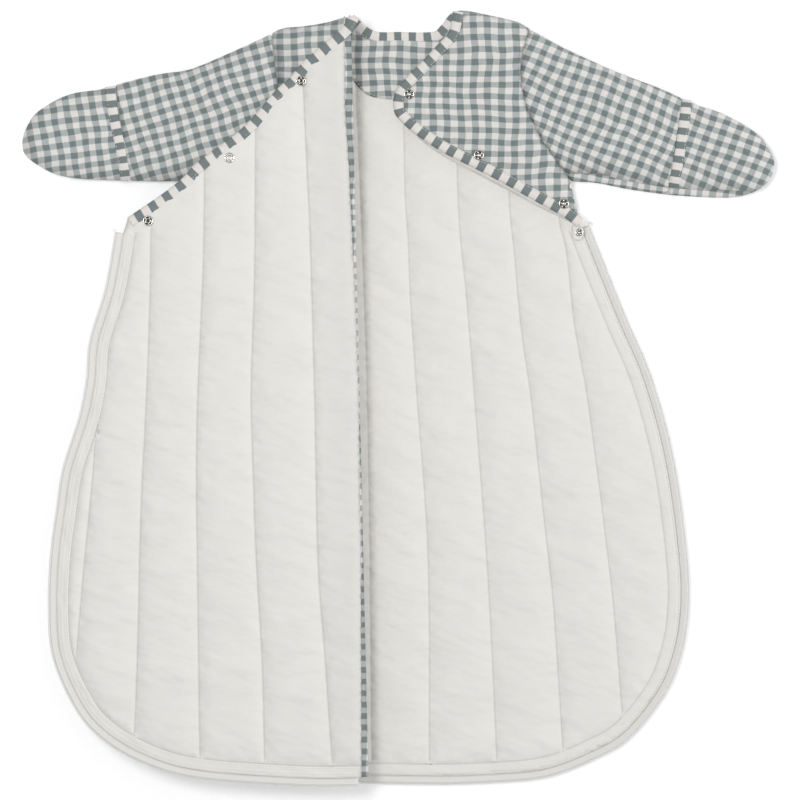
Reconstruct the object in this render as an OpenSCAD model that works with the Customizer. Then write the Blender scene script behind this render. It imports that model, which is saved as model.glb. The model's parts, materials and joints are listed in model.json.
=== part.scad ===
// Baby sleeping bag with sleeves and fold-over mitts, laid flat on its back and opened:
// the right half of the front panel is turned over onto the left half. +Y points to the
// neck, +Z up, and the origin is on the floor under the middle of the whole bag.

/* [Layers] */
// Thickness of one layer of cotton cloth, lining or outer shell
cloth_t = 0.8; // [0.5:0.1:1]
// Thickness of the quilted back panel
back_t = 8; // [7:0.5:9]
// Thickness of the front panel, in its left half and in the turned-over flap
front_t = 7; // [5:0.5:7]
// Thickness of the right bodice and of a sleeve's front
bodice_t = 5; // [4:0.5:6]
// Thickness of a sleeve's back
sleeve_back_t = 6; // [4:0.5:7]
// Thickness of one side of a mitt
mitt_t = 5; // [3:0.5:5]
// Room for an arm or the chest between back and bodice
arm_room = 6; // [5:0.5:7]
// Room for a hand inside a mitt
hand_room = 5.5; // [5:0.5:6]
// Room between the bodice and the closed front panel, where the snaps meet
snap_room = 4.5; // [4.4:0.1:6]

/* [Fold of the front panel] */
// X of the flap's hinge line where it crosses Y = 0
fold_x = -34.7; // [-36:0.1:-33]
// Lean of the hinge line away from the Y axis, in degrees
fold_lean = 1.34; // [1.2:0.01:1.5]
// Distance from the hinge line to the edges of the two front panels
fold_reach = 12; // [11:0.5:13]
// Distance from the hinge line to the outside of the fold
fold_inset = 5; // [4:0.5:7]
// Gap between the flap and the panel that it lies on
flap_gap = 1.2; // [1.2:0.1:2]

/* [Bindings and snaps] */
// Width of the gingham binding
binding_w = 8.5; // [7:0.5:9]
// Thickness of the binding
binding_t = 1.2; // [0.8:0.1:1.4]
// Outer diameter of a ring snap
snap_d = 9.5; // [9:0.5:11]
// Diameter of a snap's stud
stud_d = 3.6; // [3:0.1:4]
// Height of a stud above the cloth
stud_h = 2; // [1.5:0.1:2]
// Height of a stud's base ring, and of a socket's rim above the binding
ring_h = 0.6; // [0.4:0.1:0.6]

/* [Zip] */
// Width of the zip tape that shows outside a panel's edge
tape_w = 6.5; // [6:0.5:7]
// Thickness of the zip tape
tape_t = 0.8; // [0.6:0.1:1]
// Thickness of one half of the zip's coil
coil_d = 1.6; // [1.4:0.1:1.6]
// Y of the straight edge of the back panel along the zip's closed end
zip_y = -327.5; // [-329:0.5:-326]
// X of the slider at rest, close to the zip's closed end
slider_x = -162; // [-165:1:-155]
// Length of the slider
slider_l = 9; // [8:0.5:10]
// Length of the slider's pull, from its pin
pull_l = 20; // [15:1:24]

/* [Hidden] */
$fn = 48;
curve_steps = 4; // straight pieces between two given points of a curve
seam_w = 3; // width of a side wall
edge_t = 1; // thickness of a binding where it wraps round an edge
clear = 0.4; // room between pieces that move past each other
bodice_z = back_t + arm_room;
bodice_top = bodice_z + bodice_t;
front_z = bodice_top + snap_room;
front_top = front_z + front_t;
hinge_z = front_top + flap_gap / 2;
flap_z = front_top + flap_gap;
flap_top = flap_z + front_t;
mitt_front_z = mitt_t + hand_room;
tape_z = 3.8;
front_tape_z = back_t + 0.6;
zip_end_x = -178;

// ---- curves -------------------------------------------------------------------------

// Point at t of 0 to 1 between b and c, on a smooth curve that also passes a and d
function bend(a, b, c, d, t) =
    0.5 * (2 * b + (c - a) * t + (2 * a - 5 * b + 4 * c - d) * t * t
           + (3 * b - a - 3 * c + d) * t * t * t);
function curve(p) = concat(
    [for (i = [0:len(p) - 2]) for (k = [0:curve_steps - 1])
        bend(p[max(i - 1, 0)], p[i], p[i + 1], p[min(i + 2, len(p) - 1)], k / curve_steps)],
    [p[len(p) - 1]]);
function reversed(p) = [for (i = [len(p) - 1:-1:0]) p[i]];
function from(p, first) = [for (i = [first:len(p) - 1]) p[i]];
function unit(v) = v / norm(v);
function along(p, i) = unit(p[min(i + 1, len(p) - 1)] - p[max(i - 1, 0)]);
// The curve p moved by d to its left-hand side
function beside(p, d) =
    [for (i = [0:len(p) - 1]) p[i] + d * [-along(p, i)[1], along(p, i)[0]]];
// A strip of width w on the left-hand side of the curve p, or the right-hand side if w < 0
function band(p, w) = concat(p, reversed(beside(p, w)));
// The point at height y on the line d to the right of the hinge line
function fold_at(y, d) = [fold_x - y * tan(fold_lean) + d / cos(fold_lean), y];

// ---- outlines, each from the neck down ----------------------------------------------

neck = curve([[-41, 346], [-36, 341], [-28, 334], [-18, 330], [0, 330], [30, 330],
              [39, 336], [46, 345], [51, 349.5]]);
right_shoulder = curve([[51, 349.5], [61, 350], [86, 345], [107, 340], [119, 333]]);
left_shoulder = curve([[-41, 346], [-54, 342], [-83, 336], [-104, 334], [-115, 329]]);
right_armhole = curve([[119, 333], [111, 308], [111, 283], [117, 259], [130, 232],
                       [148, 207], [155, 197]]);
left_armhole = curve([[-115, 329], [-111, 296], [-109, 278], [-117, 250], [-134, 220],
                      [-155, 192]]);
right_armpit = [[155, 197], [158, 183], [162, 166]];
right_side = curve([[165, 154], [172, 136], [197, 74], [222, 15], [242, -60], [254, -150],
                    [254, -199], [246, -238], [232, -268], [204, -302], [176, -319],
                    [131, -336], [73, -341], [28, -342], [-33, -341]]);
zip_bottom = concat(curve([[-33, -341], [-60, -334], [-85, zip_y]]),
                    [[zip_end_x, zip_y]]);
left_side = curve([[-155, 192], [-179, 164], [-199, 140], [-230, 76], [-260, 18],
                   [-288, -58], [-303, -140], [-304, -185], [-300, -229], [-282, -268],
                   [-260, -294], [-224, -316], [-190, -326]]);

flap_diagonal = curve([[-55, 326], [-83, 303], [-97, 287], [-111, 274],
                       [-127, 255], [-145, 237], [-180, 211], [-193, 197], [-212, 182],
                       [-243, 161]]);
flap_side = curve([[-247, 148], [-256, 97], [-270, 50], [-273, 15], [-280, -20],
                   [-294, -64], [-300, -102], [-305, -140], [-307, -184], [-304, -228],
                   [-288, -268], [-267, -296], [-231, -319], [-181, -334], [-88, -341],
                   [-46, -341]]);
bodice_edge = curve([[50, 349], [46, 330], [36, 318], [19, 300], [8, 289], [-1, 278],
                     [-4, 267], [-2, 256], [7, 246], [18, 237], [41, 222], [69, 208],
                     [94, 195], [128, 176], [148, 165], [161, 155]]);

right_sleeve_top = curve([[119, 333], [148, 317], [176, 304], [204, 292], [231, 282],
                          [256, 271]]);
right_sleeve_low = curve([[157.5, 196], [180, 194.5], [208, 189], [242.5, 184]]);
left_sleeve_top = curve([[-115, 329], [-141, 317], [-175, 302], [-193, 296], [-221, 292],
                         [-256, 283]]);
left_sleeve_low = curve([[-155, 192], [-193, 196], [-221, 196], [-242.5, 196.5]]);
right_mitt_edge = curve([[257, 270.5], [270, 265], [288, 259], [307, 250], [325, 238],
                         [335, 225], [340, 211], [335, 197], [323, 187], [300, 181.5],
                         [265, 182.5], [243.5, 184]]);
left_mitt_edge = curve([[-257, 282.5], [-271, 279], [-299, 274], [-326, 259], [-337, 243],
                        [-340, 229], [-336, 218], [-320, 207], [-305, 201], [-283, 198],
                        [-243.5, 196.5]]);
// The mouth of each mitt, which its binding follows, a little beyond the wrist's hinge line
right_mouth = [[257, 270.5], [243.5, 184]];
left_mouth = [[-257, 282.5], [-243.5, 196.5]];

flap_snaps = [[-87.3, 284.4], [-151.7, 215.4], [-224.6, 158.9]];
bodice_snaps = [[9.5, 273.6], [72.5, 218.7], [149, 175]];
guard_tab = [163, 149.5];
guard_size = [12, 13];

back_outline = concat(neck, from(right_shoulder, 1), from(right_armhole, 1),
                      from(right_armpit, 1), right_side, from(zip_bottom, 1),
                      reversed(left_side), from(reversed(left_armhole), 1),
                      from(reversed(left_shoulder), 1));
front_left_outline = concat([fold_at(330, -fold_reach), fold_at(zip_y, -fold_reach)],
                            [[zip_end_x, zip_y]], reversed(left_side),
                            from(reversed(left_armhole), 1),
                            from(reversed(left_shoulder), 1));
flap_outline = concat(flap_diagonal, flap_side, [fold_at(-341, -fold_reach),
                      fold_at(326, -fold_reach)]);
bodice_outline = concat(bodice_edge, reversed(right_armpit),
                        from(reversed(right_armhole), 1),
                        from(reversed(right_shoulder), 1));
right_sleeve_outline = concat(right_sleeve_top, reversed(right_sleeve_low),
                              reversed(right_armhole));
left_sleeve_outline = concat(left_sleeve_top, reversed(left_sleeve_low),
                             from(reversed(left_armhole), 1));
// The left sleeve's front reaches under the front panel, where it is sewn to it
left_front_outline = concat(left_sleeve_top, reversed(left_sleeve_low),
                            reversed(beside(from(left_armhole, 3), 2 * seam_w)));

// ---- building blocks ----------------------------------------------------------------

module sheet(outline, z, t) translate([0, 0, z]) linear_extrude(t) polygon(outline);
// A binding that lies on an edge and wraps round it; w < 0 puts it on the right-hand side
module binding(edge, w, z_low, z_top) {
    sheet(band(edge, w), z_top, binding_t);
    sheet(band(edge, -sign(w) * edge_t), z_low, z_top + binding_t - z_low);
}
module drums(spots, d, z, h) for (p = spots) translate([p[0], p[1], z]) cylinder(d = d, h = h);
// A snap's socket: a rim with a hole that the stud enters
module sockets(spots, z, h) difference() {
    drums(spots, snap_d, z, h);
    drums(spots, stud_d + clear, z - 1, h + 2);
}
module studs(spots, z) {
    drums(spots, snap_d, z, ring_h);
    drums(spots, stud_d, z, stud_h);
}
// The front of a sleeve or mitt: a panel at z with side walls down to z_low
module tray(outline, walls, z, t, z_low) {
    sheet(outline, z, t);
    for (wall = walls) sheet(wall, z_low, z - z_low + 0.01);
}

// ---- back ---------------------------------------------------------------------------

module back_shell() color("lightslategray") sheet(back_outline, 0, cloth_t);
module back_wadding() color("white")
    sheet(back_outline, cloth_t, back_t - 2 * cloth_t);
module back_lining() color("whitesmoke") sheet(back_outline, back_t - cloth_t, cloth_t);
module neck_facing() color("lightslategray")
    sheet(concat(reversed(neck), curve([[-42, 336], [-46, 302], [-41, 287], [-28, 274],
          [-8, 270], [25, 272], [42, 300], [47, 342]])), back_t, cloth_t);
module neck_binding() color("slategray")
    binding(neck, -binding_w, 0, back_t + cloth_t);

// ---- left half of the front ---------------------------------------------------------

module front_left_shell() color("lightslategray")
    sheet(front_left_outline, front_top - cloth_t, cloth_t);
module front_left_wadding() color("white")
    sheet(front_left_outline, front_z + cloth_t, front_t - 2 * cloth_t);
module front_left_lining() color("whitesmoke")
    sheet(front_left_outline, front_z, cloth_t);
module front_left_hem() color("whitesmoke")
    sheet(band([[zip_end_x, zip_y], fold_at(zip_y, -fold_reach)], seam_w),
          back_t + clear, front_z - back_t - clear);
module left_side_seam() color("whitesmoke")
    sheet(band(left_side, seam_w), back_t, front_z - back_t);
module left_shoulder_seam() color("lightslategray")
    sheet(band(from(left_shoulder, curve_steps), seam_w), back_t, front_z - back_t);
// The padding that turns over at the fold, kept out of the flap's way
module front_fold() color("whitesmoke")
    translate([fold_x, 0, hinge_z]) rotate([0, 0, fold_lean]) rotate([90, 0, 0])
        intersection() {
            cylinder(r = fold_reach - clear, h = 666, center = true);
            translate([-fold_inset - fold_reach / 2, 0, 0])
                cube([fold_reach, 2 * (flap_top - hinge_z), 668], center = true);
        }

// ---- flap: the right half of the front, turned over ---------------------------------

module flap_shell() color("lightslategray") sheet(flap_outline, flap_z, cloth_t);
module flap_wadding() color("white")
    sheet(flap_outline, flap_z + cloth_t, front_t - 2 * cloth_t);
module flap_lining() color("whitesmoke")
    sheet(flap_outline, flap_top - cloth_t, cloth_t);
module flap_binding() color("slategray") difference() {
    binding(flap_diagonal, binding_w, flap_z, flap_top);
    drums(flap_snaps, snap_d, flap_top, 2 * binding_t);
}
module flap_snap_sockets() color("silver")
    sockets(flap_snaps, flap_top, binding_t + ring_h);
module flap_snap_rings() color("silver") sockets(flap_snaps, flap_z - ring_h, ring_h);
module flap_zip_tape() color("white")
    sheet(band(flap_side, -tape_w), (flap_z + flap_top - tape_t) / 2, tape_t);
module flap_zip_coil() color("gainsboro")
    sheet(band(beside(flap_side, -tape_w), -coil_d),
          (flap_z + flap_top - coil_d) / 2, coil_d);

// ---- right bodice -------------------------------------------------------------------

module right_bodice_lining() color("whitesmoke")
    sheet(bodice_outline, bodice_z, cloth_t);
module right_bodice_wadding() color("white")
    sheet(bodice_outline, bodice_z + cloth_t, bodice_t - 2 * cloth_t);
module right_bodice_shell() color("lightslategray")
    sheet(bodice_outline, bodice_top - cloth_t, cloth_t);
module right_bodice_binding() color("slategray") difference() {
    binding(bodice_edge, binding_w, bodice_z, bodice_top);
    drums(bodice_snaps, snap_d, bodice_top, 2 * binding_t);
}
module right_shoulder_seam() color("lightslategray") {
    sheet(band(from(right_shoulder, curve_steps), -seam_w), back_t, arm_room);
    sheet(band(right_armpit, -seam_w), back_t, arm_room);
}
module bodice_snap_studs() color("silver") studs(bodice_snaps, bodice_top);
module bodice_snap_rings() color("silver")
    sockets(bodice_snaps, bodice_z - ring_h, ring_h);
module zip_guard_tab() color("white")
    translate([guard_tab[0] - guard_size[0], guard_tab[1] - guard_size[1] / 2, back_t])
        cube([guard_size[0] + snap_d / 2, guard_size[1], binding_t]);
module zip_guard_snap() color("silver") studs([guard_tab], back_t + binding_t);

// ---- sleeves and mitts --------------------------------------------------------------

module right_sleeve_back() color("lightslategray")
    sheet(right_sleeve_outline, 0, sleeve_back_t);
module right_sleeve_front() color("lightslategray")
    tray(right_sleeve_outline,
         [band(from(right_sleeve_top, 1), -seam_w), band(right_sleeve_low, seam_w)],
         bodice_z, bodice_t, sleeve_back_t);
module left_sleeve_back() color("lightslategray")
    sheet(left_sleeve_outline, 0, sleeve_back_t);
module left_sleeve_front() color("lightslategray")
    tray(left_front_outline,
         [band(from(left_sleeve_top, 1), seam_w), band(from(left_sleeve_low, 1), -seam_w)],
         front_z - bodice_t, bodice_t, sleeve_back_t);

module right_mitt_back() color("lightslategray") sheet(right_mitt_edge, 0, mitt_t);
module right_mitt_front() color("lightslategray")
    tray(right_mitt_edge, [band(right_mitt_edge, -seam_w)], mitt_front_z, mitt_t, mitt_t);
module right_cuff_binding() color("slategray")
    sheet(band(right_mouth, binding_w), mitt_front_z + mitt_t, binding_t);
module left_mitt_back() color("lightslategray") sheet(left_mitt_edge, 0, mitt_t);
module left_mitt_front() color("lightslategray")
    tray(left_mitt_edge, [band(left_mitt_edge, seam_w)], mitt_front_z, mitt_t, mitt_t);
module left_cuff_binding() color("slategray")
    sheet(band(left_mouth, -binding_w), mitt_front_z + mitt_t, binding_t);

// ---- zip ----------------------------------------------------------------------------

back_zip = concat(right_side, from(zip_bottom, 1));
front_zip = [fold_at(zip_y, -fold_reach), [zip_end_x, zip_y]];
coil_y = zip_y - tape_w - coil_d; // outer side of both coils along the straight stretch
coil_drop = (coil_d - tape_t) / 2;
coil_low = tape_z - coil_drop;
coil_high = front_tape_z - coil_drop + coil_d;
plate_t = 1.2;
pin_r = 0.8;
pin_y = coil_y - clear - plate_t - 2;
pull_h = 4;
ear_t = 1;
slider_mid = (coil_low + coil_high) / 2;

module back_zip_tape() color("white") sheet(band(back_zip, tape_w), tape_z, tape_t);
module back_zip_coil() color("gainsboro")
    sheet(band(beside(back_zip, tape_w), coil_d), coil_low, coil_d);
module front_left_zip_tape() color("white")
    sheet(band(front_zip, tape_w), front_tape_z, tape_t);
module front_left_zip_coil() color("gainsboro")
    sheet(band(beside(front_zip, tape_w), coil_d), coil_high - coil_d, coil_d);
module zip_end_stop() color("silver")
    translate([zip_end_x - 3, coil_y, coil_low]) cube([3, coil_d, coil_high - coil_low]);
module back_zip_stop() color("silver")
    translate([back_zip[0][0] + tape_w, back_zip[0][1] + 3, coil_low])
        cube([3, 2.5, coil_d]);
module flap_zip_stop() color("silver")
    translate([flap_side[0][0] - tape_w - 3, flap_side[0][1] + 1.5,
               (flap_z + flap_top - coil_d) / 2])
        cube([3, 2.5, coil_d]);

module zip_slider() color("silver") translate([slider_x, 0, 0]) {
    // outer plate with its two flanges
    translate([-slider_l / 2, coil_y - clear - plate_t, coil_low - 2 * clear])
        cube([slider_l, plate_t, coil_high - coil_low + 4 * clear]);
    for (z = [coil_low - 2 * clear, coil_high + clear])
        translate([-slider_l / 2, coil_y - clear - 0.01, z]) cube([slider_l, 1.4, clear]);
    // post between the two coils, and the inner plate between the two tapes
    translate([1, coil_y - clear - 0.01, slider_mid - 1])
        cube([3, coil_d + 2 * clear + 0.5, 2]);
    translate([-slider_l / 2, coil_y + coil_d + clear, slider_mid - 1.4])
        cube([slider_l, 1, 2.8]);
    // ears and pin for the pull
    for (side = [-1, 1])
        translate([-1.2, pin_y - 1, slider_mid + side * (pull_h / 2 + clear + ear_t / 2)
                   - ear_t / 2])
            cube([2.4, 3.01, ear_t]);
    translate([0, pin_y, slider_mid - pull_h / 2 - clear - 0.01])
        cylinder(r = pin_r, h = pull_h + 2 * clear + 0.02);
}
module zip_pull() color("silver") translate([slider_x, pin_y, slider_mid - pull_h / 2])
    difference() {
        union() {
            cylinder(r = 2 * pin_r, h = pull_h);
            translate([0, -0.6, 0]) cube([pull_l, 1.2, pull_h]);
        }
        translate([0, 0, -1]) cylinder(r = pin_r + 0.08, h = pull_h + 2);
    }

back_shell();
back_wadding();
back_lining();
neck_facing();
neck_binding();
front_left_shell();
front_left_wadding();
front_left_lining();
front_left_hem();
front_fold();
left_side_seam();
left_shoulder_seam();
flap_shell();
flap_wadding();
flap_lining();
flap_binding();
flap_snap_sockets();
flap_snap_rings();
flap_zip_tape();
flap_zip_coil();
right_bodice_shell();
right_bodice_wadding();
right_bodice_lining();
right_bodice_binding();
right_shoulder_seam();
bodice_snap_studs();
bodice_snap_rings();
zip_guard_tab();
zip_guard_snap();
left_sleeve_back();
left_sleeve_front();
right_sleeve_back();
right_sleeve_front();
left_mitt_back();
left_mitt_front();
left_cuff_binding();
right_mitt_back();
right_mitt_front();
right_cuff_binding();
back_zip_tape();
back_zip_coil();
front_left_zip_tape();
front_left_zip_coil();
zip_end_stop();
back_zip_stop();
flap_zip_stop();
zip_slider();
zip_pull();
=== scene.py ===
"""Baby sleeping bag, laid flat and opened: cloth, wadding, bindings, snaps and zip.

Lengths are metres. Outlines are lists of millimetre points, the same as in the CAD model,
that smooth_curve() joins. +Y points to the neck, +Z up from the floor.
"""
import json
import math

import bpy
import numpy as np
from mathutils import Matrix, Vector, noise
from mathutils.geometry import delaunay_2d_cdt
from mathutils.kdtree import KDTree


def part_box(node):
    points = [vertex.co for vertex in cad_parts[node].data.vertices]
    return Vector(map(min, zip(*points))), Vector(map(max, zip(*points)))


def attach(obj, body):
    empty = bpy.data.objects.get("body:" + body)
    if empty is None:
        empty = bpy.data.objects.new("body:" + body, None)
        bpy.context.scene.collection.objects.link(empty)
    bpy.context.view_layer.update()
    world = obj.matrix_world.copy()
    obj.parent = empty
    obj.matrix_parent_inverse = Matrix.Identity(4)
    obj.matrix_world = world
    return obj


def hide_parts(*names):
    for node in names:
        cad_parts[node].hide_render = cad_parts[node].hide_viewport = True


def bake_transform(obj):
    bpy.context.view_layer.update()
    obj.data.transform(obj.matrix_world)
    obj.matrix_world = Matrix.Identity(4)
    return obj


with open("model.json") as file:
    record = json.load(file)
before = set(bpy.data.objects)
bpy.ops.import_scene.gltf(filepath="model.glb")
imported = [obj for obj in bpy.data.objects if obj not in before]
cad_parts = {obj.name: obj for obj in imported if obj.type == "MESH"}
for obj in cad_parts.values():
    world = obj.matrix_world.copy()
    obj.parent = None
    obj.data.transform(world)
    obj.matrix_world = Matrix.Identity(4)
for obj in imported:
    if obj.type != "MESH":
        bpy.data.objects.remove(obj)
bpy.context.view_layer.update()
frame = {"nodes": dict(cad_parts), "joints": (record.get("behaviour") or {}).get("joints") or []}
MM = 0.001

# ---- outlines, in millimetres, as in the CAD model ----

NECK = [(-41, 346), (-36, 341), (-28, 334), (-18, 330), (0, 330), (30, 330), (39, 336),
        (46, 345), (51, 349.5)]
RIGHT_SHOULDER = [(51, 349.5), (61, 350), (86, 345), (107, 340), (119, 333)]
LEFT_SHOULDER = [(-41, 346), (-54, 342), (-83, 336), (-104, 334), (-115, 329)]
RIGHT_ARMHOLE = [(119, 333), (111, 308), (111, 283), (117, 259), (130, 232), (148, 207),
                 (155, 197)]
LEFT_ARMHOLE = [(-115, 329), (-111, 296), (-109, 278), (-117, 250), (-134, 220),
                (-155, 192)]
RIGHT_ARMPIT = [(155, 197), (158, 183), (162, 166)]
RIGHT_SIDE = [(165, 154), (172, 136), (197, 74), (222, 15), (242, -60), (254, -150),
              (254, -199), (246, -238), (232, -268), (204, -302), (176, -319), (131, -336),
              (73, -341), (28, -342), (-33, -341)]
ZIP_BOTTOM = [(-33, -341), (-60, -334), (-85, -327.5), (-120, -327.5), (-178, -327.5)]
LEFT_SIDE = [(-155, 192), (-179, 164), (-199, 140), (-230, 76), (-260, 18), (-288, -58),
             (-303, -140), (-304, -185), (-300, -229), (-282, -268), (-260, -294),
             (-224, -316), (-190, -326)]
FLAP_DIAGONAL = [(-43.5, 343.5), (-51, 331), (-83, 303), (-97, 287), (-111, 274), (-127, 255),
                 (-145, 237), (-180, 211), (-193, 197), (-212, 182), (-243, 161)]
FLAP_SIDE = [(-247, 148), (-256, 97), (-270, 50), (-273, 15), (-280, -20), (-294, -64),
             (-300, -102), (-305, -140), (-307, -184), (-304, -228), (-288, -268),
             (-267, -296), (-231, -319), (-181, -334), (-88, -341), (-36, -341)]
BODICE_EDGE = [(50, 349), (46, 330), (36, 318), (19, 300), (8, 289), (-1, 278), (-4, 267),
               (-2, 256), (7, 246), (18, 237), (41, 222), (69, 208), (94, 195), (128, 176),
               (148, 165), (161, 155)]
RIGHT_SLEEVE_TOP = [(119, 333), (148, 317), (176, 304), (204, 292), (231, 282), (256, 271)]
RIGHT_SLEEVE_LOW = [(157.5, 196), (180, 194.5), (208, 189), (243.5, 184)]
# The seam where the right sleeve's back cloth comes round to the front
RIGHT_LOW_SEAM = [(153, 203), (181, 202.5), (199, 198), (217, 194.5), (244, 190)]
LEFT_SLEEVE_TOP = [(-115, 329), (-141, 317), (-175, 302), (-193, 296), (-221, 292),
                   (-256, 283)]
LEFT_SLEEVE_LOW = [(-155, 192), (-193, 196), (-221, 196), (-242.5, 196.5)]
RIGHT_MITT = [(257, 270.5), (270, 265), (288, 259), (307, 250), (325, 238), (335, 225),
              (340, 211), (335, 197), (323, 187), (300, 181.5), (265, 182.5), (243.5, 184)]
LEFT_MITT = [(-257, 282.5), (-271, 279), (-299, 274), (-326, 259), (-337, 243),
             (-340, 229), (-336, 218), (-320, 207), (-305, 201), (-283, 198),
             (-243.5, 196.5)]

# Quilting lines of the turned-over flap and of the back, from the neck end down
FLAP_CHANNELS = [
    [(-270, 8), (-274, -67), (-282, -150), (-289, -232)],
    [(-222, 151), (-223, 83), (-226, 0), (-230, -80), (-232, -140), (-234, -231),
     (-237, -307)],
    [(-174, 206), (-175, 120), (-180, 0), (-181, -80), (-180, -166), (-178, -324)],
    [(-128, 252), (-129, 108), (-132, 7), (-130, -74), (-127, -153), (-122, -239),
     (-120, -328)],
    [(-86, 296), (-81, 187), (-79, 142), (-75, 0), (-72, -146), (-66, -229), (-59, -330)],
]
BACK_CHANNELS = [
    [(4, 300), (6, 188), (9, 142), (11, 88), (17, 0), (27, -146), (28, -331)],
    [(53, 330), (54, 178), (62, 88), (69, 0), (80, -146), (86, -256), (89, -329)],
    [(97, 320), (100, 186), (105, 130), (111, 64), (120, 0), (128, -74), (134, -129),
     (140, -184), (145, -257), (149, -320)],
    [(143, 190), (146, 158), (152, 133), (158, 76), (163, 45), (171, 0), (181, -74),
     (187, -123), (195, -192), (203, -292)],
    [(-40, 322), (-28, 0), (-24, -330)],
    [(-85, 325), (-77, 0), (-74, -318)],
    [(-128, 220), (-124, 0), (-122, -318)],
    [(-175, 160), (-172, 0), (-170, -316)],
    [(-222, 84), (-220, 0), (-220, -306)],
    [(-266, -14), (-268, -120), (-266, -276)],
]
FRONT_CHANNELS = BACK_CHANNELS[5:]
# The edge of the fold that shows, from the neck down
FOLD_EDGE = [(-48.2, 345), (-48.2, 268), (-44.6, 211), (-41.9, 153), (-38.7, 88), (-35.6, -2),
             (-33.8, -146), (-32.9, -349)]
FACING_EDGE = [(-42, 336), (-46, 302), (-41, 287), (-28, 274), (-8, 270), (25, 272),
               (42, 300), (47, 342)]

FLAP_SNAPS = [(-87.3, 284.4), (-151.7, 215.4), (-224.6, 158.9)]
BODICE_SNAPS = [(9.5, 273.6), (72.5, 218.7), (149, 175)]
GUARD_TAB = (163, 149.5)

# ---- levels, from the CAD model ----


def low(node):
    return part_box(node)[0][2]


def top(node):
    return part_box(node)[1][2]


BACK_TOP = top("back_lining")
FRONT_LOW, FRONT_TOP = low("front_left_lining"), top("front_left_shell")
FLAP_LOW, FLAP_TOP = low("flap_shell"), top("flap_lining")
BODICE_LOW, BODICE_TOP = low("right_bodice_lining"), top("right_bodice_shell")
SLEEVE_TOP = top("left_sleeve_front")
MITT_TOP = top("left_mitt_front")
BACK_TAPE, FRONT_TAPE, FLAP_TAPE = (low(n) for n in ("back_zip_tape", "front_left_zip_tape",
                                                     "flap_zip_tape"))
TAPE_W, TAPE_T, COIL_D = 6.5 * MM, 0.8 * MM, 1.6 * MM
QUILT = 1.9 * MM  # how far a line of quilting is pulled below the cloth's top
JOINTS = {j["name"]: j for j in frame["joints"]}
HINGE = JOINTS["front_flap"]
HINGE_POINT = np.array(HINGE["pos_m"])
HINGE_AXIS = np.array(HINGE["axis"])
FOLD_RADIUS = FLAP_TOP - QUILT - HINGE_POINT[2]
CLOTH = 0.7 * MM
SEAM_Z = 5.4 * MM  # level of the seams round sleeves, mitts and bodice

# ---- curves ----


def smooth_curve(points, steps=8):
    """A smooth path in metres through the points, which are in millimetres."""
    p = np.array(points, float) * MM
    padded = np.vstack([p[:1], p, p[-1:]])
    t = np.linspace(0, 1, steps, endpoint=False)[:, None]
    pieces = []
    for i in range(len(p) - 1):
        a, b, c, d = padded[i:i + 4]
        pieces.append(0.5 * (2 * b + (c - a) * t + (2 * a - 5 * b + 4 * c - d) * t ** 2
                             + (3 * b - a - 3 * c + d) * t ** 3))
    return np.vstack(pieces + [p[-1:]])


def lengths(path):
    steps = np.linalg.norm(np.diff(path, axis=0), axis=1)
    return np.concatenate([[0], np.cumsum(steps)])


def resample(path, spacing):
    """The same path with its points evenly spaced, about spacing apart."""
    s = lengths(path)
    count = max(2, int(round(s[-1] / spacing)) + 1)
    at = np.linspace(0, s[-1], count)
    return np.stack([np.interp(at, s, path[:, k]) for k in range(path.shape[1])], axis=1)


def tangents(path):
    t = np.gradient(path, axis=0)
    return t / np.maximum(np.linalg.norm(t, axis=1, keepdims=True), 1e-12)


def beside(path, distance):
    """The path moved sideways: a positive distance moves it to its left."""
    t = tangents(path)
    return path[:, :2] + distance * np.stack([-t[:, 1], t[:, 0]], axis=1)


def joined(*paths):
    """One closed outline from paths that follow each other."""
    points = np.vstack([p[:, :2] for p in paths])
    keep = np.linalg.norm(points - np.roll(points, 1, axis=0), axis=1) > 0.2 * MM
    return points[keep]


def hinge_x(y, distance=0.0):
    """X of the line that runs beside the flap's hinge, at height y."""
    lean = HINGE_AXIS[0] / HINGE_AXIS[1]
    return HINGE_POINT[0] + (np.asarray(y) - HINGE_POINT[1]) * lean + distance


def inside(points, outline):
    """Which of the points lie inside the closed outline."""
    x, y = points[:, 0], points[:, 1]
    hit = np.zeros(len(points), bool)
    for a, b in zip(outline, np.roll(outline, -1, axis=0)):
        crosses = (a[1] > y) != (b[1] > y)
        if crosses.any():
            at = a[0] + (y - a[1]) * (b[0] - a[0]) / (b[1] - a[1] + 1e-18)
            hit ^= crosses & (x < at)
    return hit


def tree_of(points):
    """A search tree of the points' places, without their heights."""
    tree = KDTree(len(points))
    for i, p in enumerate(points):
        tree.insert((p[0], p[1], 0), i)
    tree.balance()
    return tree


def distance_from(tree, points):
    return np.array([tree.find((p[0], p[1], 0))[2] for p in points])


def distance_to(points, paths):
    """Distance of each point to the nearest of the paths, which are finely sampled."""
    return distance_from(tree_of(np.vstack([resample(p, 1.5 * MM) for p in paths])), points)


def looped(outline):
    """The outline with its first point again at its end."""
    return np.vstack([outline, outline[:1]])


# ---- flat nets of cloth ----

ROW = 0.866  # distance of the rows in a net of equal-sided triangles


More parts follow.
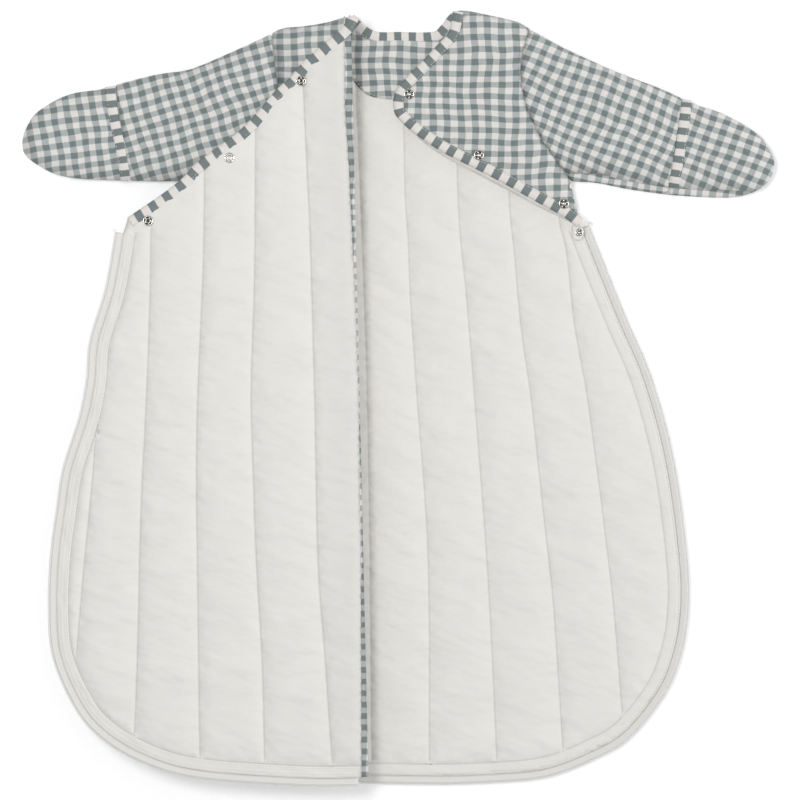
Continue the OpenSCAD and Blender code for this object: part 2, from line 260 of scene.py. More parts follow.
def cloth_net(outline, seams, spacing, flank=0.0):
    """Triangles that fill an outline, with points along each seam inside it.

    With a flank there are also points that far to both sides of each seam. Returns the
    points (x, y), the triangles, and masks of the points on the edge and on a seam.
    """
    edge = resample(looped(outline), spacing)[:-1]
    inner, on_seam = [], []
    wanted = [(seam, True) for seam in seams]
    if flank:
        wanted += [(beside(seam, d), False) for seam in seams for d in (flank, -flank)]
    for seam, held in wanted:
        line = resample(seam, spacing)
        clear = inside(line, outline) & (distance_to(line, [looped(edge)]) > 0.5 * spacing)
        runs = np.split(np.arange(len(line)), np.flatnonzero(np.diff(clear.astype(int))) + 1)
        inner += [line[r] for r in runs if clear[r[0]] and len(r) > 1]
        on_seam += [held] * (len(inner) - len(on_seam))
    (x_min, y_min), (x_max, y_max) = edge.min(axis=0), edge.max(axis=0)
    rows = int((y_max - y_min) / (spacing * ROW)) + 1
    grid = []
    for k in range(rows):
        y = y_min + k * spacing * ROW
        xs = np.arange(x_min, x_max, spacing) + (k % 2) * spacing / 2
        grid.append(np.stack([xs, np.full(len(xs), y)], axis=1))
    grid = np.vstack(grid)
    grid = grid[inside(grid, edge)]
    grid = grid[distance_to(grid, [looped(edge)] + inner) > 0.55 * spacing]
    points = np.vstack([edge] + inner + [grid])
    count = len(edge)
    links = [(i, (i + 1) % count) for i in range(count)]
    sewn = np.zeros(len(points) + 1, bool)
    for line, held in zip(inner, on_seam):
        links += [(count + i, count + i + 1) for i in range(len(line) - 1)]
        sewn[count:count + len(line)] = held
        count += len(line)
    found = delaunay_2d_cdt([Vector(p) for p in points], links, [list(range(len(edge)))],
                            1, 1e-7)
    verts = np.array([tuple(v) for v in found[0]])
    tris = np.array([f for f in found[2] if len(f) == 3])
    source = np.array([min(ids) if ids else len(points) for ids in found[3]])
    a, b, c = (verts[tris[:, k]] for k in range(3))
    turn = (b - a)[:, 0] * (c - a)[:, 1] - (b - a)[:, 1] * (c - a)[:, 0]
    tris[turn < 0] = tris[turn < 0][:, ::-1]
    return verts, tris, source < len(edge), sewn[source]


def mesh_object(name, verts, faces, flat=None, smooth=True, groove_shade=None):
    """A mesh object; flat is each point's place on the cut cloth, kept as its UV.

    The groove shade mask is 1 where a seam pulls the cloth in; there the materials paint shade
    into the colour.
    """
    mesh = bpy.data.meshes.new(name)
    mesh.from_pydata([tuple(v) for v in verts], [], [tuple(int(i) for i in f) for f in faces])
    mesh.update()
    if smooth:
        mesh.polygons.foreach_set("use_smooth", [True] * len(mesh.polygons))
    if flat is not None:
        uv = mesh.uv_layers.new(name="flat")
        loops = np.empty(len(mesh.loops), int)
        mesh.loops.foreach_get("vertex_index", loops)
        uv.data.foreach_set("uv", np.asarray(flat, np.float32)[loops].ravel())
    if groove_shade is not None:
        kept = mesh.attributes.new("groove_shade", "FLOAT", "POINT")
        kept.data.foreach_set("value", np.asarray(groove_shade, np.float32))
    obj = bpy.data.objects.new(name, mesh)
    bpy.context.scene.collection.objects.link(obj)
    return obj


def closed(upper, lower, tris):
    """Points and faces of the solid between two copies of a net."""
    count = len(upper)
    directed = np.vstack([tris[:, [0, 1]], tris[:, [1, 2]], tris[:, [2, 0]]])
    _, first, times = np.unique(np.sort(directed, axis=1), axis=0, return_index=True,
                                return_counts=True)
    sides = [(b, a, a + count, b + count) for a, b in directed[first[times == 1]]]
    faces = [tuple(t) for t in tris] + [tuple(t[::-1] + count) for t in tris] + sides
    return np.vstack([upper, lower]), faces


def thicken(points, tris, thickness):
    """The same for a sheet: points are its upper side, or its lower if thickness < 0."""
    n = np.zeros_like(points)
    face = np.cross(points[tris[:, 1]] - points[tris[:, 0]],
                    points[tris[:, 2]] - points[tris[:, 0]])
    for k in range(3):
        np.add.at(n, tris[:, k], face)
    n /= np.maximum(np.linalg.norm(n, axis=1, keepdims=True), 1e-12)
    other = points - n * thickness
    return closed(points, other, tris) if thickness > 0 else closed(other, points, tris)


# ---- cloth simulation ----

WAITING = []


class Cloth:
    """A flat sheet whose free parts swell upwards between its pinned seams."""

    def __init__(self, name, outline, seams=(), spacing=4.5 * MM, pinned=None, grow=0.015,
                 push=40.0, puff=1.6 * MM, flank=0.0, dip=0.0, seed=1):
        self.name = name
        self.flat, self.tris, self.edge, self.seam = cloth_net(outline, list(seams), spacing,
                                                               flank)
        self.held = self.edge | self.seam
        if pinned is not None:
            self.held = self.held | pinned(self.flat)
        away = distance_from(tree_of(self.flat[self.held]), self.flat)
        rng = np.random.default_rng(seed)
        z = puff * (1 - np.exp(-away / 0.009)) - dip * self.seam
        z = z + np.where(self.held, 0, rng.uniform(0, 0.25 * MM, len(z)))
        self.points = np.column_stack([self.flat, z])
        self.grow, self.push = grow, push
        WAITING.append(self)

    def lift(self):
        """How far each point has risen, and how far it has moved sideways."""
        return self.points[:, 2], self.points[:, :2] - self.flat


def swell_all(frames=22):
    """Run every waiting sheet's simulation together and keep the result as its points."""
    scene = bpy.context.scene
    made = []
    for c in WAITING:
        obj = mesh_object("sim_" + c.name, c.points, c.tris)
        group = obj.vertex_groups.new(name="held")
        group.add([int(i) for i in np.flatnonzero(c.held)], 1.0, "REPLACE")
        cloth = obj.modifiers.new("swell", "CLOTH")
        s = cloth.settings
        s.quality = 5
        s.mass = 0.3
        s.tension_stiffness = s.compression_stiffness = 15
        s.shear_stiffness = 5
        s.bending_stiffness = 0.3
        s.air_damping = 4
        s.vertex_group_mass = "held"
        s.effector_weights.gravity = 0
        s.shrink_min = -c.grow
        s.use_pressure = True
        s.uniform_pressure_force = c.push
        cloth.collision_settings.use_collision = False
        cloth.point_cache.frame_start, cloth.point_cache.frame_end = 1, frames
        made.append((c, obj))
    for f in range(1, frames + 1):
        scene.frame_set(f)
    graph = bpy.context.evaluated_depsgraph_get()
    for c, obj in made:
        shaped = obj.evaluated_get(graph).to_mesh()
        points = np.empty(len(c.points) * 3)
        shaped.vertices.foreach_get("co", points)
        c.points = points.reshape(-1, 3)
        obj.evaluated_get(graph).to_mesh_clear()
        bpy.data.objects.remove(obj)
    scene.frame_set(1)
    WAITING.clear()


# ---- heights ----

def ease(t):
    t = np.clip(t, 0, 1)
    return t * t * (3 - 2 * t)


def dome(t):
    """A quarter of an ellipse: 0 at the edge, where it is steep, and 1 from t = 1."""
    return np.sqrt(1 - (1 - np.clip(t, 0, 1)) ** 2)


def ripple(points, size, amount, seed, stretch=1.0, turn=0.0):
    """Soft unevenness of this size; stretch makes it longer along the direction turn."""
    c, s = math.cos(turn), math.sin(turn)
    x = (points[:, 0] * c + points[:, 1] * s) / (size * stretch)
    y = (-points[:, 0] * s + points[:, 1] * c) / size
    return amount * np.array([noise.noise((a, b, seed * 7.31)) for a, b in zip(x, y)])


NECK_LINE, SHOULDER_R, SHOULDER_L = (smooth_curve(p) for p in
                                     (NECK, RIGHT_SHOULDER, LEFT_SHOULDER))
ARMHOLE_R, ARMHOLE_L, ARMPIT_R = (smooth_curve(p) for p in
                                  (RIGHT_ARMHOLE, LEFT_ARMHOLE, RIGHT_ARMPIT))
ZIP_LINE = np.vstack([smooth_curve(RIGHT_SIDE), smooth_curve(ZIP_BOTTOM[:3])[1:],
                      np.array([ZIP_BOTTOM[-1]]) * MM])
SIDE_L = smooth_curve(LEFT_SIDE)
DIAGONAL, FLAP_LINE = smooth_curve(FLAP_DIAGONAL), smooth_curve(FLAP_SIDE)
BODICE_LINE = smooth_curve(BODICE_EDGE)
SLEEVE_TOP_R, SLEEVE_LOW_R = smooth_curve(RIGHT_SLEEVE_TOP), smooth_curve(RIGHT_SLEEVE_LOW)
SLEEVE_TOP_L, SLEEVE_LOW_L = smooth_curve(LEFT_SLEEVE_TOP), smooth_curve(LEFT_SLEEVE_LOW)
LOW_SEAM_R = smooth_curve(RIGHT_LOW_SEAM)
MITT_R, MITT_L = smooth_curve(RIGHT_MITT), smooth_curve(LEFT_MITT)
ZIP_Y = ZIP_BOTTOM[-1][1] * MM
ZIP_END = ZIP_BOTTOM[-1][0] * MM


def fold_x(y):
    """X of the fold's visible edge."""
    edge = np.array(FOLD_EDGE[::-1], float) * MM
    return np.interp(y, edge[:, 1], edge[:, 0])


def fold_start(y):
    """X where the flap begins to turn down into the fold."""
    return fold_x(y) - FOLD_RADIUS


def round_fold(flat, z, lower):
    """Puts a flat sheet's right-hand end round the fold; z is each point's height."""
    x0 = fold_start(flat[:, 1])
    zc = HINGE_POINT[2]
    past = np.maximum(flat[:, 0] - x0, 0)
    turn = past / FOLD_RADIUS
    reach = np.abs(z - zc)
    x = np.where(past > 0, x0 + reach * np.sin(turn), flat[:, 0])
    height = np.where(past > 0, reach * np.cos(turn), reach)
    return np.column_stack([x, flat[:, 1], zc - height if lower else zc + height])


def right_height(points):
    """Top of the right bodice and sleeve, which come down to their seams."""
    edges = [SHOULDER_R, SLEEVE_TOP_R, LOW_SEAM_R, ARMPIT_R[3:]]
    top_z = BODICE_TOP - 3.2 * MM * ease((points[:, 0] - 0.190) / 0.055)
    return SEAM_Z + (top_z - SEAM_Z) * dome(distance_to(points, edges) / 0.024)


def left_height(points):
    """Top of the left half of the front and of the left sleeve."""
    x, y = points[:, 0], points[:, 1]
    in_front = np.where(inside(points, FRONT_OUTLINE), distance_to(points, [ARMHOLE_L]), 0)
    plateau = (SLEEVE_TOP - 0.6 * MM - 6.5 * MM * ease((-x - 0.150) / 0.095)
               + (FRONT_TOP - SLEEVE_TOP) * ease(in_front / 0.028))
    plateau = np.where(y < 0.165, FRONT_TOP, plateau)
    edges = [SHOULDER_L[4:], SLEEVE_TOP_L, SLEEVE_LOW_L, SIDE_L]
    side = 1 - dome(distance_to(points, edges) / 0.024)
    hem = (1 - dome((y - ZIP_Y) / 0.020)) * ease((-x - 0.060) / 0.050)
    edge_z = np.where(hem > side, FRONT_TAPE + 2.0 * MM, 6.0 * MM)
    return plateau - (plateau - edge_z) * np.maximum(side, hem)


BACK_OUTLINE = joined(NECK_LINE, SHOULDER_R, ARMHOLE_R, ARMPIT_R, ZIP_LINE, SIDE_L[::-1],
                      ARMHOLE_L[::-1], SHOULDER_L[::-1])
FOLD_SIDE = np.array([(0, y) for y in np.linspace(0.338, ZIP_Y, 60)])
FRONT_OUTLINE = joined(SIDE_L, np.array([[ZIP_END, ZIP_Y], [-0.060, ZIP_Y]]),
                       np.column_stack([hinge_x(FOLD_SIDE[::-1, 1], -7 * MM),
                                        FOLD_SIDE[::-1, 1]]),
                       SHOULDER_L[4:], ARMHOLE_L)


# ---- materials ----

class Look:
    """A material being built: node() adds a node, with links given as sockets."""

    def __init__(self, name, **surface):
        self.material = bpy.data.materials.new(name)
        self.material.use_nodes = True
        self.tree = self.material.node_tree
        self.shader = self.tree.nodes["Principled BSDF"]
        for key, value in surface.items():
            self.set(self.shader, key, value)

    def set(self, node, key, value):
        socket = node.inputs[key.replace("_", " ") if isinstance(key, str) else key]
        if isinstance(value, bpy.types.NodeSocket):
            self.tree.links.new(value, socket)
        else:
            socket.default_value = value

    def node(self, kind, inputs=None, out=0, **options):
        made = self.tree.nodes.new("ShaderNode" + kind)
        for key, value in options.items():
            setattr(made, key, value)
        for key, value in (inputs or {}).items():
            self.set(made, key, value)
        return made.outputs[out]

    def math(self, operation, *values):
        return self.node("Math", dict(enumerate(values)), operation=operation)

    def place(self, name="flat", scale=(1, 1, 1)):
        uv = self.node("UVMap", uv_map=name)
        return self.node("Mapping", {"Vector": uv, "Scale": scale})

    def noise(self, vector, scale, detail=3.0, rough=0.5, out=0):
        return self.node("TexNoise", {"Vector": vector, "Scale": scale, "Detail": detail,
                                      "Roughness": rough}, out=out)

    def span(self, value, a, b, c, d):
        return self.node("MapRange", {"Value": value, "From Min": a, "From Max": b,
                                      "To Min": c, "To Max": d})

    def mix(self, factor, a, b, kind="MIX"):
        made = self.tree.nodes.new("ShaderNodeMix")
        made.data_type, made.blend_type = "RGBA", kind
        for socket, value in ((made.inputs[0], factor), (made.inputs[6], a),
                              (made.inputs[7], b)):
            if isinstance(value, bpy.types.NodeSocket):
                self.tree.links.new(value, socket)
            else:
                socket.default_value = value
        return made.outputs[2]

    def tinted(self, colour, shade):
        """The colour times a grey of this brightness."""
        grey = self.node("CombineColor", {"Red": shade, "Green": shade, "Blue": shade})
        return self.mix(1.0, colour, grey, "MULTIPLY")

    def with_groove_shade(self, colour, dark):
        """The colour with painted shade: darker in the grooves of the cloth."""
        groove_shade = self.node("Attribute", out=2, attribute_name="groove_shade")
        return self.tinted(colour, self.math("SUBTRACT", 1.0,
                                             self.math("MULTIPLY", groove_shade, dark)))

    def part(self, vector, axis):
        """One coordinate of a vector: 0 for x, 1 for y."""
        return self.node("SeparateXYZ", {"Vector": vector}, out=axis)

    def bump(self, height, strength, distance, normal=None):
        inputs = {"Height": height, "Strength": strength, "Distance": distance}
        if normal is not None:
            inputs["Normal"] = normal
        return self.node("Bump", inputs)


def srgb(r, g, b):
    """A colour given as 0 to 255 values."""
    return tuple(c / 12.92 if c <= 0.04045 else ((c + 0.055) / 1.055) ** 2.4
                 for c in (r / 255, g / 255, b / 255)) + (1.0,)


DARK, MIDDLE, LIGHT = srgb(109, 118, 118), srgb(161, 166, 165), srgb(211, 207, 203)


def stripes(look, value, soft):
    """1 in one half of each period and 0 in the other."""
    folded = look.math("ABSOLUTE", look.math("SUBTRACT", look.math("FRACT", value), 0.5))
    return look.span(folded, 0.25 - soft, 0.25 + soft, 1.0, 0.0)


def woven(look, uv, threads):
    """Height of a plain weave with this many threads per period."""
    waves = []
    for axis in (0, 1):
        turns = look.math("MULTIPLY", look.part(uv, axis), 2 * math.pi * threads)
        waves.append(look.math("ABSOLUTE", look.math("SINE", turns)))
    return look.math("MULTIPLY", *waves)


def gingham_look(name):
    look = Look(name, Roughness=0.9, Sheen_Weight=0.12, Sheen_Roughness=0.5)
    uv = look.place()
    bent = uv  # the checks follow the cloth, which is pulled out of line here and there
    for size, amount in ((0.16, 0.9), (0.9, 0.16)):
        bend = look.noise(uv, size, 2.0, out=1)
        moved = look.node("VectorMath", {0: bend, 1: (0.5, 0.5, 0.5)}, operation="SUBTRACT")
        moved = look.node("VectorMath", {0: moved, "Scale": amount}, operation="SCALE")
        bent = look.node("VectorMath", {0: bent, 1: moved}, operation="ADD")
    both = look.math("ADD", stripes(look, look.part(bent, 0), 0.025),
                     stripes(look, look.part(bent, 1), 0.03))
    half = look.span(both, 0.0, 1.0, 0.0, 1.0)
    full = look.span(both, 1.0, 2.0, 0.0, 1.0)
    colour = look.mix(full, look.mix(half, LIGHT, MIDDLE), DARK)
    tones = []
    for stretch in ((22, 0.7, 1), (0.7, 22, 1)):
        long = look.node("Mapping", {"Vector": bent, "Scale": stretch})
        tones.append(look.noise(long, 1.0, 2.0))
    thread = look.span(look.math("ADD", *tones), 0.6, 1.4, 0.88, 1.10)
    colour = look.tinted(colour, thread)
    cool = look.span(look.noise(bent, 0.55, 2.0), 0.35, 0.65, 0.0, 0.5)
    colour = look.mix(cool, colour, look.mix(1.0, colour, (0.95, 1.0, 1.0, 1), "MULTIPLY"))
    # The colour is painted darker along the seams' grooves, as shade.
    look.set(look.shader, "Base Color", look.with_groove_shade(colour, 0.3))
    weave = look.bump(woven(look, bent, 11), 0.25, 0.0002)
    crumple = look.bump(look.noise(uv, 0.5, 4.0, 0.55), 0.5, 0.0016, weave)
    look.set(look.shader, "Normal", crumple)
    return look.material


def binding_look(name):
    look = Look(name, Roughness=0.88, Sheen_Weight=0.12, Sheen_Roughness=0.5)
    uv = look.place()
    wobble = look.span(look.noise(uv, 1.3, 2.0), 0.3, 0.7, -0.03, 0.03)
    skew = look.math("MULTIPLY_ADD", look.part(uv, 1), 0.03, look.part(uv, 0))
    square = stripes(look, look.math("MULTIPLY", look.math("ADD", skew, wobble), 0.5), 0.02)
    colour = look.mix(square, LIGHT, DARK)
    fine = look.noise(look.place(scale=(1, 26, 1)), 1.0, 2.0)
    thread = look.span(fine, 0.3, 0.7, 0.93, 1.06)
    look.set(look.shader, "Base Color", look.tinted(colour, thread))
    weave = look.bump(woven(look, uv, 6), 0.25, 0.0002)
    look.set(look.shader, "Normal", look.bump(look.noise(uv, 0.8, 3.0), 0.45, 0.001, weave))
    return look.material


def darker(tone, share):
    return tuple(c * share for c in tone[:3]) + (1.0,)


def white_cloth_look(name, tone, crumple=0.0008):
    """Plain white cotton, with short wrinkles in two directions; its UV is in metres."""
    look = Look(name, Roughness=0.93, Sheen_Weight=0.15, Sheen_Roughness=0.6)
    uv = look.place()
    mottled = look.span(look.noise(uv, 28.0, 4.0), 0.3, 0.7, 0.0, 1.0)
    # Painted shade: the colour is darker along the seams' grooves.
    colour = look.with_groove_shade(look.mix(mottled, darker(tone, 0.965), tone), 0.2)
    look.set(look.shader, "Base Color", colour)
    fuzz = look.bump(look.noise(uv, 1500.0, 2.0), 0.12, 0.0003)
    soft = look.bump(look.noise(uv, 60.0, 4.0, 0.5), 0.6, crumple, fuzz)
    for turn, scale in ((0.35, (14, 48, 1)), (-0.2, (22, 60, 1))):
        along = look.node("Mapping", {"Vector": look.node("UVMap", uv_map="flat"),
                                      "Rotation": (0, 0, turn)})
        drag = look.noise(look.node("Mapping", {"Vector": along, "Scale": scale}), 1.0, 2.0)
        soft = look.bump(look.span(drag, 0.42, 0.75, 0.0, 1.0), 0.7, 1.5 * crumple, soft)
    look.set(look.shader, "Normal", soft)
    return look.material


def tape_look(name, tone):
    """Woven zip tape: fine ribs along its length. UV: length and width in metres."""
    look = Look(name, Roughness=0.8)
    uv = look.place()
    rib = 1.1 * MM
    ribs = look.math("SINE", look.math("MULTIPLY", look.part(uv, 1), 2 * math.pi / rib))
    # The colour is painted darker in the hollows between the ribs, as shade.
    look.set(look.shader, "Base Color", look.mix(look.span(ribs, -1, 1, 0, 1),
                                                 darker(tone, 0.93), tone))
    look.set(look.shader, "Normal", look.bump(ribs, 0.35, 0.0003))
    return look.material


def plain_look(name, tone, roughness, metallic=0.0, grain=400.0, spread=0.08):
    """A hard piece or thread: slight unevenness of colour, roughness and surface."""
    look = Look(name, Metallic=metallic)
    where = look.node("TexCoord", out=3)
    cloud = look.noise(where, grain, 4.0)
    look.set(look.shader, "Base Color", look.mix(cloud, darker(tone, 1 - spread), tone))
    look.set(look.shader, "Roughness", look.span(cloud, 0.2, 0.8, roughness * 0.8,
                                                 roughness * 1.2))
    look.set(look.shader, "Normal", look.bump(cloud, 0.3, 0.0001))
    return look.material


GINGHAM = gingham_look("gingham")
BINDING = binding_look("binding")
LINING = white_cloth_look("lining", srgb(215, 213, 209))
WADDING = white_cloth_look("wadding", srgb(232, 231, 228), 0.002)
TAPE = tape_look("zip_tape", srgb(216, 215, 211))
COIL = plain_look("zip_coil", srgb(215, 214, 211), 0.4)
THREAD = plain_look("thread", srgb(194, 193, 188), 0.8)
WHITE_THREAD = plain_look("white_thread", srgb(206, 205, 201), 0.8)
NICKEL = plain_look("snap_metal", srgb(205, 203, 198), 0.22, 1.0, 900.0, 0.2)
# Dark metal painted for the shade in the snaps' hollows.
RECESS_SHADE = plain_look("snap_recess_shade", srgb(96, 94, 90), 0.45, 1.0, 900.0, 0.3)
ENAMEL = plain_look("zip_metal", srgb(222, 221, 218), 0.35)


# ---- pieces ----

def piece(name, verts, faces, uv, material, slot, body=None, replaces=(), groove_shade=None):
    obj = mesh_object(name, verts, faces, uv, groove_shade=groove_shade)
    obj.data.materials.append(material)
    if body:
        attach(obj, body)
    if replaces:
        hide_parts(*replaces)
    return obj


def cloth_piece(name, points, tris, uv, material, slot, thickness=CLOTH, groove_shade=None,
                **options):
    verts, faces = thicken(points, tris, thickness)
    if groove_shade is not None:
        groove_shade = np.concatenate([groove_shade, 0 * groove_shade])
    return piece(name, verts, faces, np.vstack([uv, uv]), material, slot, groove_shade=groove_shade,
                 **options)


def pad_piece(name, upper, lower, tris, uv, material, slot, groove_shade=None, **options):
    if groove_shade is not None:
        groove_shade = np.concatenate([groove_shade, 0 * groove_shade])
    lower = np.column_stack([lower[:, :2], np.minimum(lower[:, 2], upper[:, 2] - 0.1 * MM)])
    verts, faces = closed(upper, lower, tris)
    obj = piece(name, verts, faces, np.vstack([uv, uv]), material, slot, groove_shade=groove_shade,
                **options)
    return obj


def tube_faces(rows, sides):
    """Faces of a tube made of rows of points, with both ends capped."""
    faces = [(i * sides + k, i * sides + (k + 1) % sides, (i + 1) * sides + (k + 1) % sides,
              (i + 1) * sides + k) for i in range(rows - 1) for k in range(sides)]
    last = (rows - 1) * sides
    return faces + [tuple(range(sides - 1, -1, -1)), tuple(range(last, last + sides))]


def sweep(path, profile, uv_scale=(1.0, 1.0)):
    """A closed profile of (side, up) points carried along a path, with capped ends.

    side is to the path's left. Returns points, faces and UV: length along and round.
    """
    path = np.asarray(path, float)
    t = tangents(path[:, :2])
    left = np.stack([-t[:, 1], t[:, 0]], axis=1)
    profile = np.asarray(profile, float)
    count = len(profile)
    verts, uv = [], []
    s = lengths(path)
    round_s = lengths(profile)
    for i, p in enumerate(path):
        for k, (side, up) in enumerate(profile):
            verts.append((p[0] + left[i, 0] * side, p[1] + left[i, 1] * side, p[2] + up))
            uv.append((s[i] * uv_scale[0], round_s[k] * uv_scale[1]))
    faces = []
    for i in range(len(path) - 1):
        for k in range(count):
            a, b = i * count + k, i * count + (k + 1) % count
            faces.append((a, a + count, b + count, b))
    faces.append(tuple(range(count)))
    last = (len(path) - 1) * count
    faces.append(tuple(last + k for k in range(count - 1, -1, -1)))
    area = sum(profile[k - 1, 0] * profile[k, 1] - profile[k, 0] * profile[k - 1, 1]
               for k in range(count))
    if area < 0:
        faces = [f[::-1] for f in faces]
    return np.array(verts), faces, np.array(uv)


def stitches(name, paths, body, material, length=2.4 * MM, gap=1.1 * MM, width=0.55 * MM,
             height=0.35 * MM):
    """Short rounded threads end to end along 3-D paths."""
    verts, faces = [], []
    for path in paths:
        s = lengths(path)
        for start in np.arange(gap, s[-1] - length, length + gap):
            at = [start, start + 0.25 * length, start + 0.75 * length, start + length]
            spots = np.stack([np.interp(at, s, path[:, k]) for k in range(3)], axis=1)
            way = spots[-1] - spots[0]
            way /= np.linalg.norm(way)
            side = np.array([-way[1], way[0], 0]) * width / 2
            base = len(verts)
            for spot, grow in zip(spots, (0.35, 1.0, 1.0, 0.35)):
                up = np.array([0, 0, height * grow])
                drop = np.array([0, 0, -0.3 * MM])
                verts += [spot + side * grow + drop, spot + side * grow * 0.8 + up * 0.7,
                          spot + up, spot - side * grow * 0.8 + up * 0.7,
                          spot - side * grow + drop]
            faces += [tuple(base + k for k in f) for f in tube_faces(4, 5)]
    verts = np.array(verts)
    piece(name, verts, faces, verts[:, :2], material, None, body)


def helix(name, path, radius, pitch, wire, body, replaces):
    """A zip coil: a round wire wound along a path."""
    s = lengths(path)
    per_turn = 8
    count = int(s[-1] / pitch) * per_turn + 1
    at = np.linspace(0, s[-1], count)
    spine = np.stack([np.interp(at, s, path[:, k]) for k in range(3)], axis=1)
    t = tangents(spine)
    side = np.stack([-t[:, 1], t[:, 0], np.zeros(count)], axis=1)
    angle = np.arange(count) * 2 * math.pi / per_turn
    out = side * np.cos(angle)[:, None] + np.array([0, 0, 1]) * np.sin(angle)[:, None]
    centre = spine + out * (radius - wire)
    verts = []
    for k in range(4):
        a = k * math.pi / 2 + math.pi / 4
        verts.append(centre + out * wire * math.cos(a) + t * wire * math.sin(a))
    verts = np.stack(verts, axis=1).reshape(-1, 3)
    piece(name, verts, tube_faces(count, 4), verts[:, :2], COIL, "zip_coil", body, replaces)


# ---- cloth pieces: outlines, simulation ----

def flap_outline(side, top=0.333, diagonal=DIAGONAL):
    """The flap; side gives the x of its right-hand edge for heights y."""
    ys = np.linspace(-0.3405, top, 130)
    return joined(diagonal, FLAP_LINE, np.column_stack([side(ys), ys]))


def front_outline(side, top=0.341, tip=-0.049):
    ys = np.linspace(top, ZIP_Y, 130)
    top_edge = SHOULDER_L[SHOULDER_L[:, 0] < tip]
    return joined(np.column_stack([side(ys), ys]),
                  np.array([[x, ZIP_Y] for x in np.linspace(-0.05, ZIP_END, 30)]),
                  SIDE_L[::-1], ARMHOLE_L[::-1], top_edge[::-1])


def lining_side(y):
    """X where a lining ends in the fold, a little before its crest."""
    return fold_start(y) + FOLD_RADIUS * (math.pi / 2 - 0.12)


def shell_side(y):
    """X where a shell ends at the hinge's line."""
    return hinge_x(y, -0.2 * MM)


def by_hinge(flat):
    """1 where a shell ends at the hinge's line, down to 0 at 20 mm from it."""
    return ease(1 - (shell_side(flat[:, 1]) - flat[:, 0]) / (20 * MM))


def near(paths, distance):
    return lambda flat: distance_to(flat, paths) < distance


STITCH_IN = 11.0 * MM  # the panels' edge stitching, in from their edge
ARM_STITCH = 1.4 * MM  # where the armhole seams hold the cloth, beside the seam
BACK_STITCH = beside(ZIP_LINE, -STITCH_IN)
FLAP_STITCH = beside(FLAP_LINE, STITCH_IN)
back_seams = [smooth_curve(c) for c in BACK_CHANNELS]
flap_seams = [smooth_curve(c) for c in FLAP_CHANNELS]

back = Cloth("back", BACK_OUTLINE, back_seams + [BACK_STITCH], 4.4 * MM,
             pinned=near([ZIP_LINE], STITCH_IN - MM), grow=0.006, push=25.0, puff=1.1 * MM,
             flank=1.2 * MM, dip=0.4 * MM, seed=3)
flap = Cloth("flap", flap_outline(lining_side), flap_seams + [FLAP_STITCH], 4.2 * MM,
             pinned=near([FLAP_LINE], STITCH_IN - MM), grow=0.010, push=35.0,
             flank=1.4 * MM, dip=0.7 * MM, seed=4)
bodice_outline = joined(BODICE_LINE, ARMPIT_R[::-1], ARMHOLE_R[::-1], SHOULDER_R[::-1])
bodice = Cloth("bodice", bodice_outline, [beside(ARMHOLE_R, -ARM_STITCH)], 3.6 * MM,
               pinned=near([BODICE_LINE], 8 * MM), grow=0.02, push=12.0, puff=0.8 * MM,
               seed=5)
sleeve_r_outline = joined(SLEEVE_TOP_R, LOW_SEAM_R[::-1], ARMHOLE_R[:-8][::-1])
sleeve_r = Cloth("sleeve_r", sleeve_r_outline, [beside(ARMHOLE_R, ARM_STITCH)], 3.4 * MM,
                 grow=0.022, push=12.0, puff=0.8 * MM, seed=6)
sleeve_l_outline = joined(SLEEVE_TOP_L, SLEEVE_LOW_L[::-1], ARMHOLE_L[::-1])
sleeve_l = Cloth("sleeve_l", sleeve_l_outline, [beside(ARMHOLE_L, -ARM_STITCH)], 3.4 * MM,
                 grow=0.022, push=12.0, puff=0.8 * MM, seed=7)
mitt_r_outline = joined(MITT_R[:8 * 8 + 1], smooth_curve([(323, 187), (304, 187.5),
                                                          (271, 188.5), (244.3, 190)]))
mitt_r = Cloth("mitt_r", mitt_r_outline, [], 3.0 * MM, grow=0.022, push=14.0,
               puff=0.8 * MM, seed=8)
mitt_l = Cloth("mitt_l", joined(MITT_L), [], 3.0 * MM, grow=0.022, push=14.0,
               puff=0.8 * MM, seed=9)
front = Cloth("front", front_outline(shell_side), [beside(ARMHOLE_L, ARM_STITCH)], 6.0 * MM,
              grow=0.012, push=10.0, puff=0.6 * MM, seed=10)
swell_all()


def crease(flat, seam):
    """1 on the seam and 0 beyond the row of points beside it."""
    return 1 - np.clip(distance_to(flat, [seam]) / (1.3 * MM), 0, 1)


def limited(rise, most, least=0.0):
    """Heights that never pass the space there is for them."""
    return np.where(rise > 0, most * np.tanh(rise / most), np.maximum(rise, -least))


# ---- back ----

def back_levels(flat):
    """Heights of the back's shell and lining: they meet along the seams and the zip."""
    zip_d = distance_to(flat, [ZIP_LINE])
    seam_d = distance_to(flat, [SHOULDER_R, SHOULDER_L, ARMPIT_R, SIDE_L])
    close = 1 - np.minimum(dome(zip_d / 0.010), dome(seam_d / 0.012))
    lower = 0.05 * MM + (3.0 * MM) * close
    upper = BACK_TOP - QUILT - (BACK_TOP - QUILT - 5.2 * MM) * close
    return lower, upper


def checks(flat, period=(12.6, 10.4), turn=0.0, shift=(0, 0)):
    """Gingham UV: one unit per repeat of the pattern, turned by an angle in degrees."""
    a = math.radians(turn)
    x, y = flat[:, 0] / MM, flat[:, 1] / MM
    return np.column_stack([(x * math.cos(a) + y * math.sin(a)) / period[0] + shift[0],
                            (-x * math.sin(a) + y * math.cos(a)) / period[1] + shift[1]])


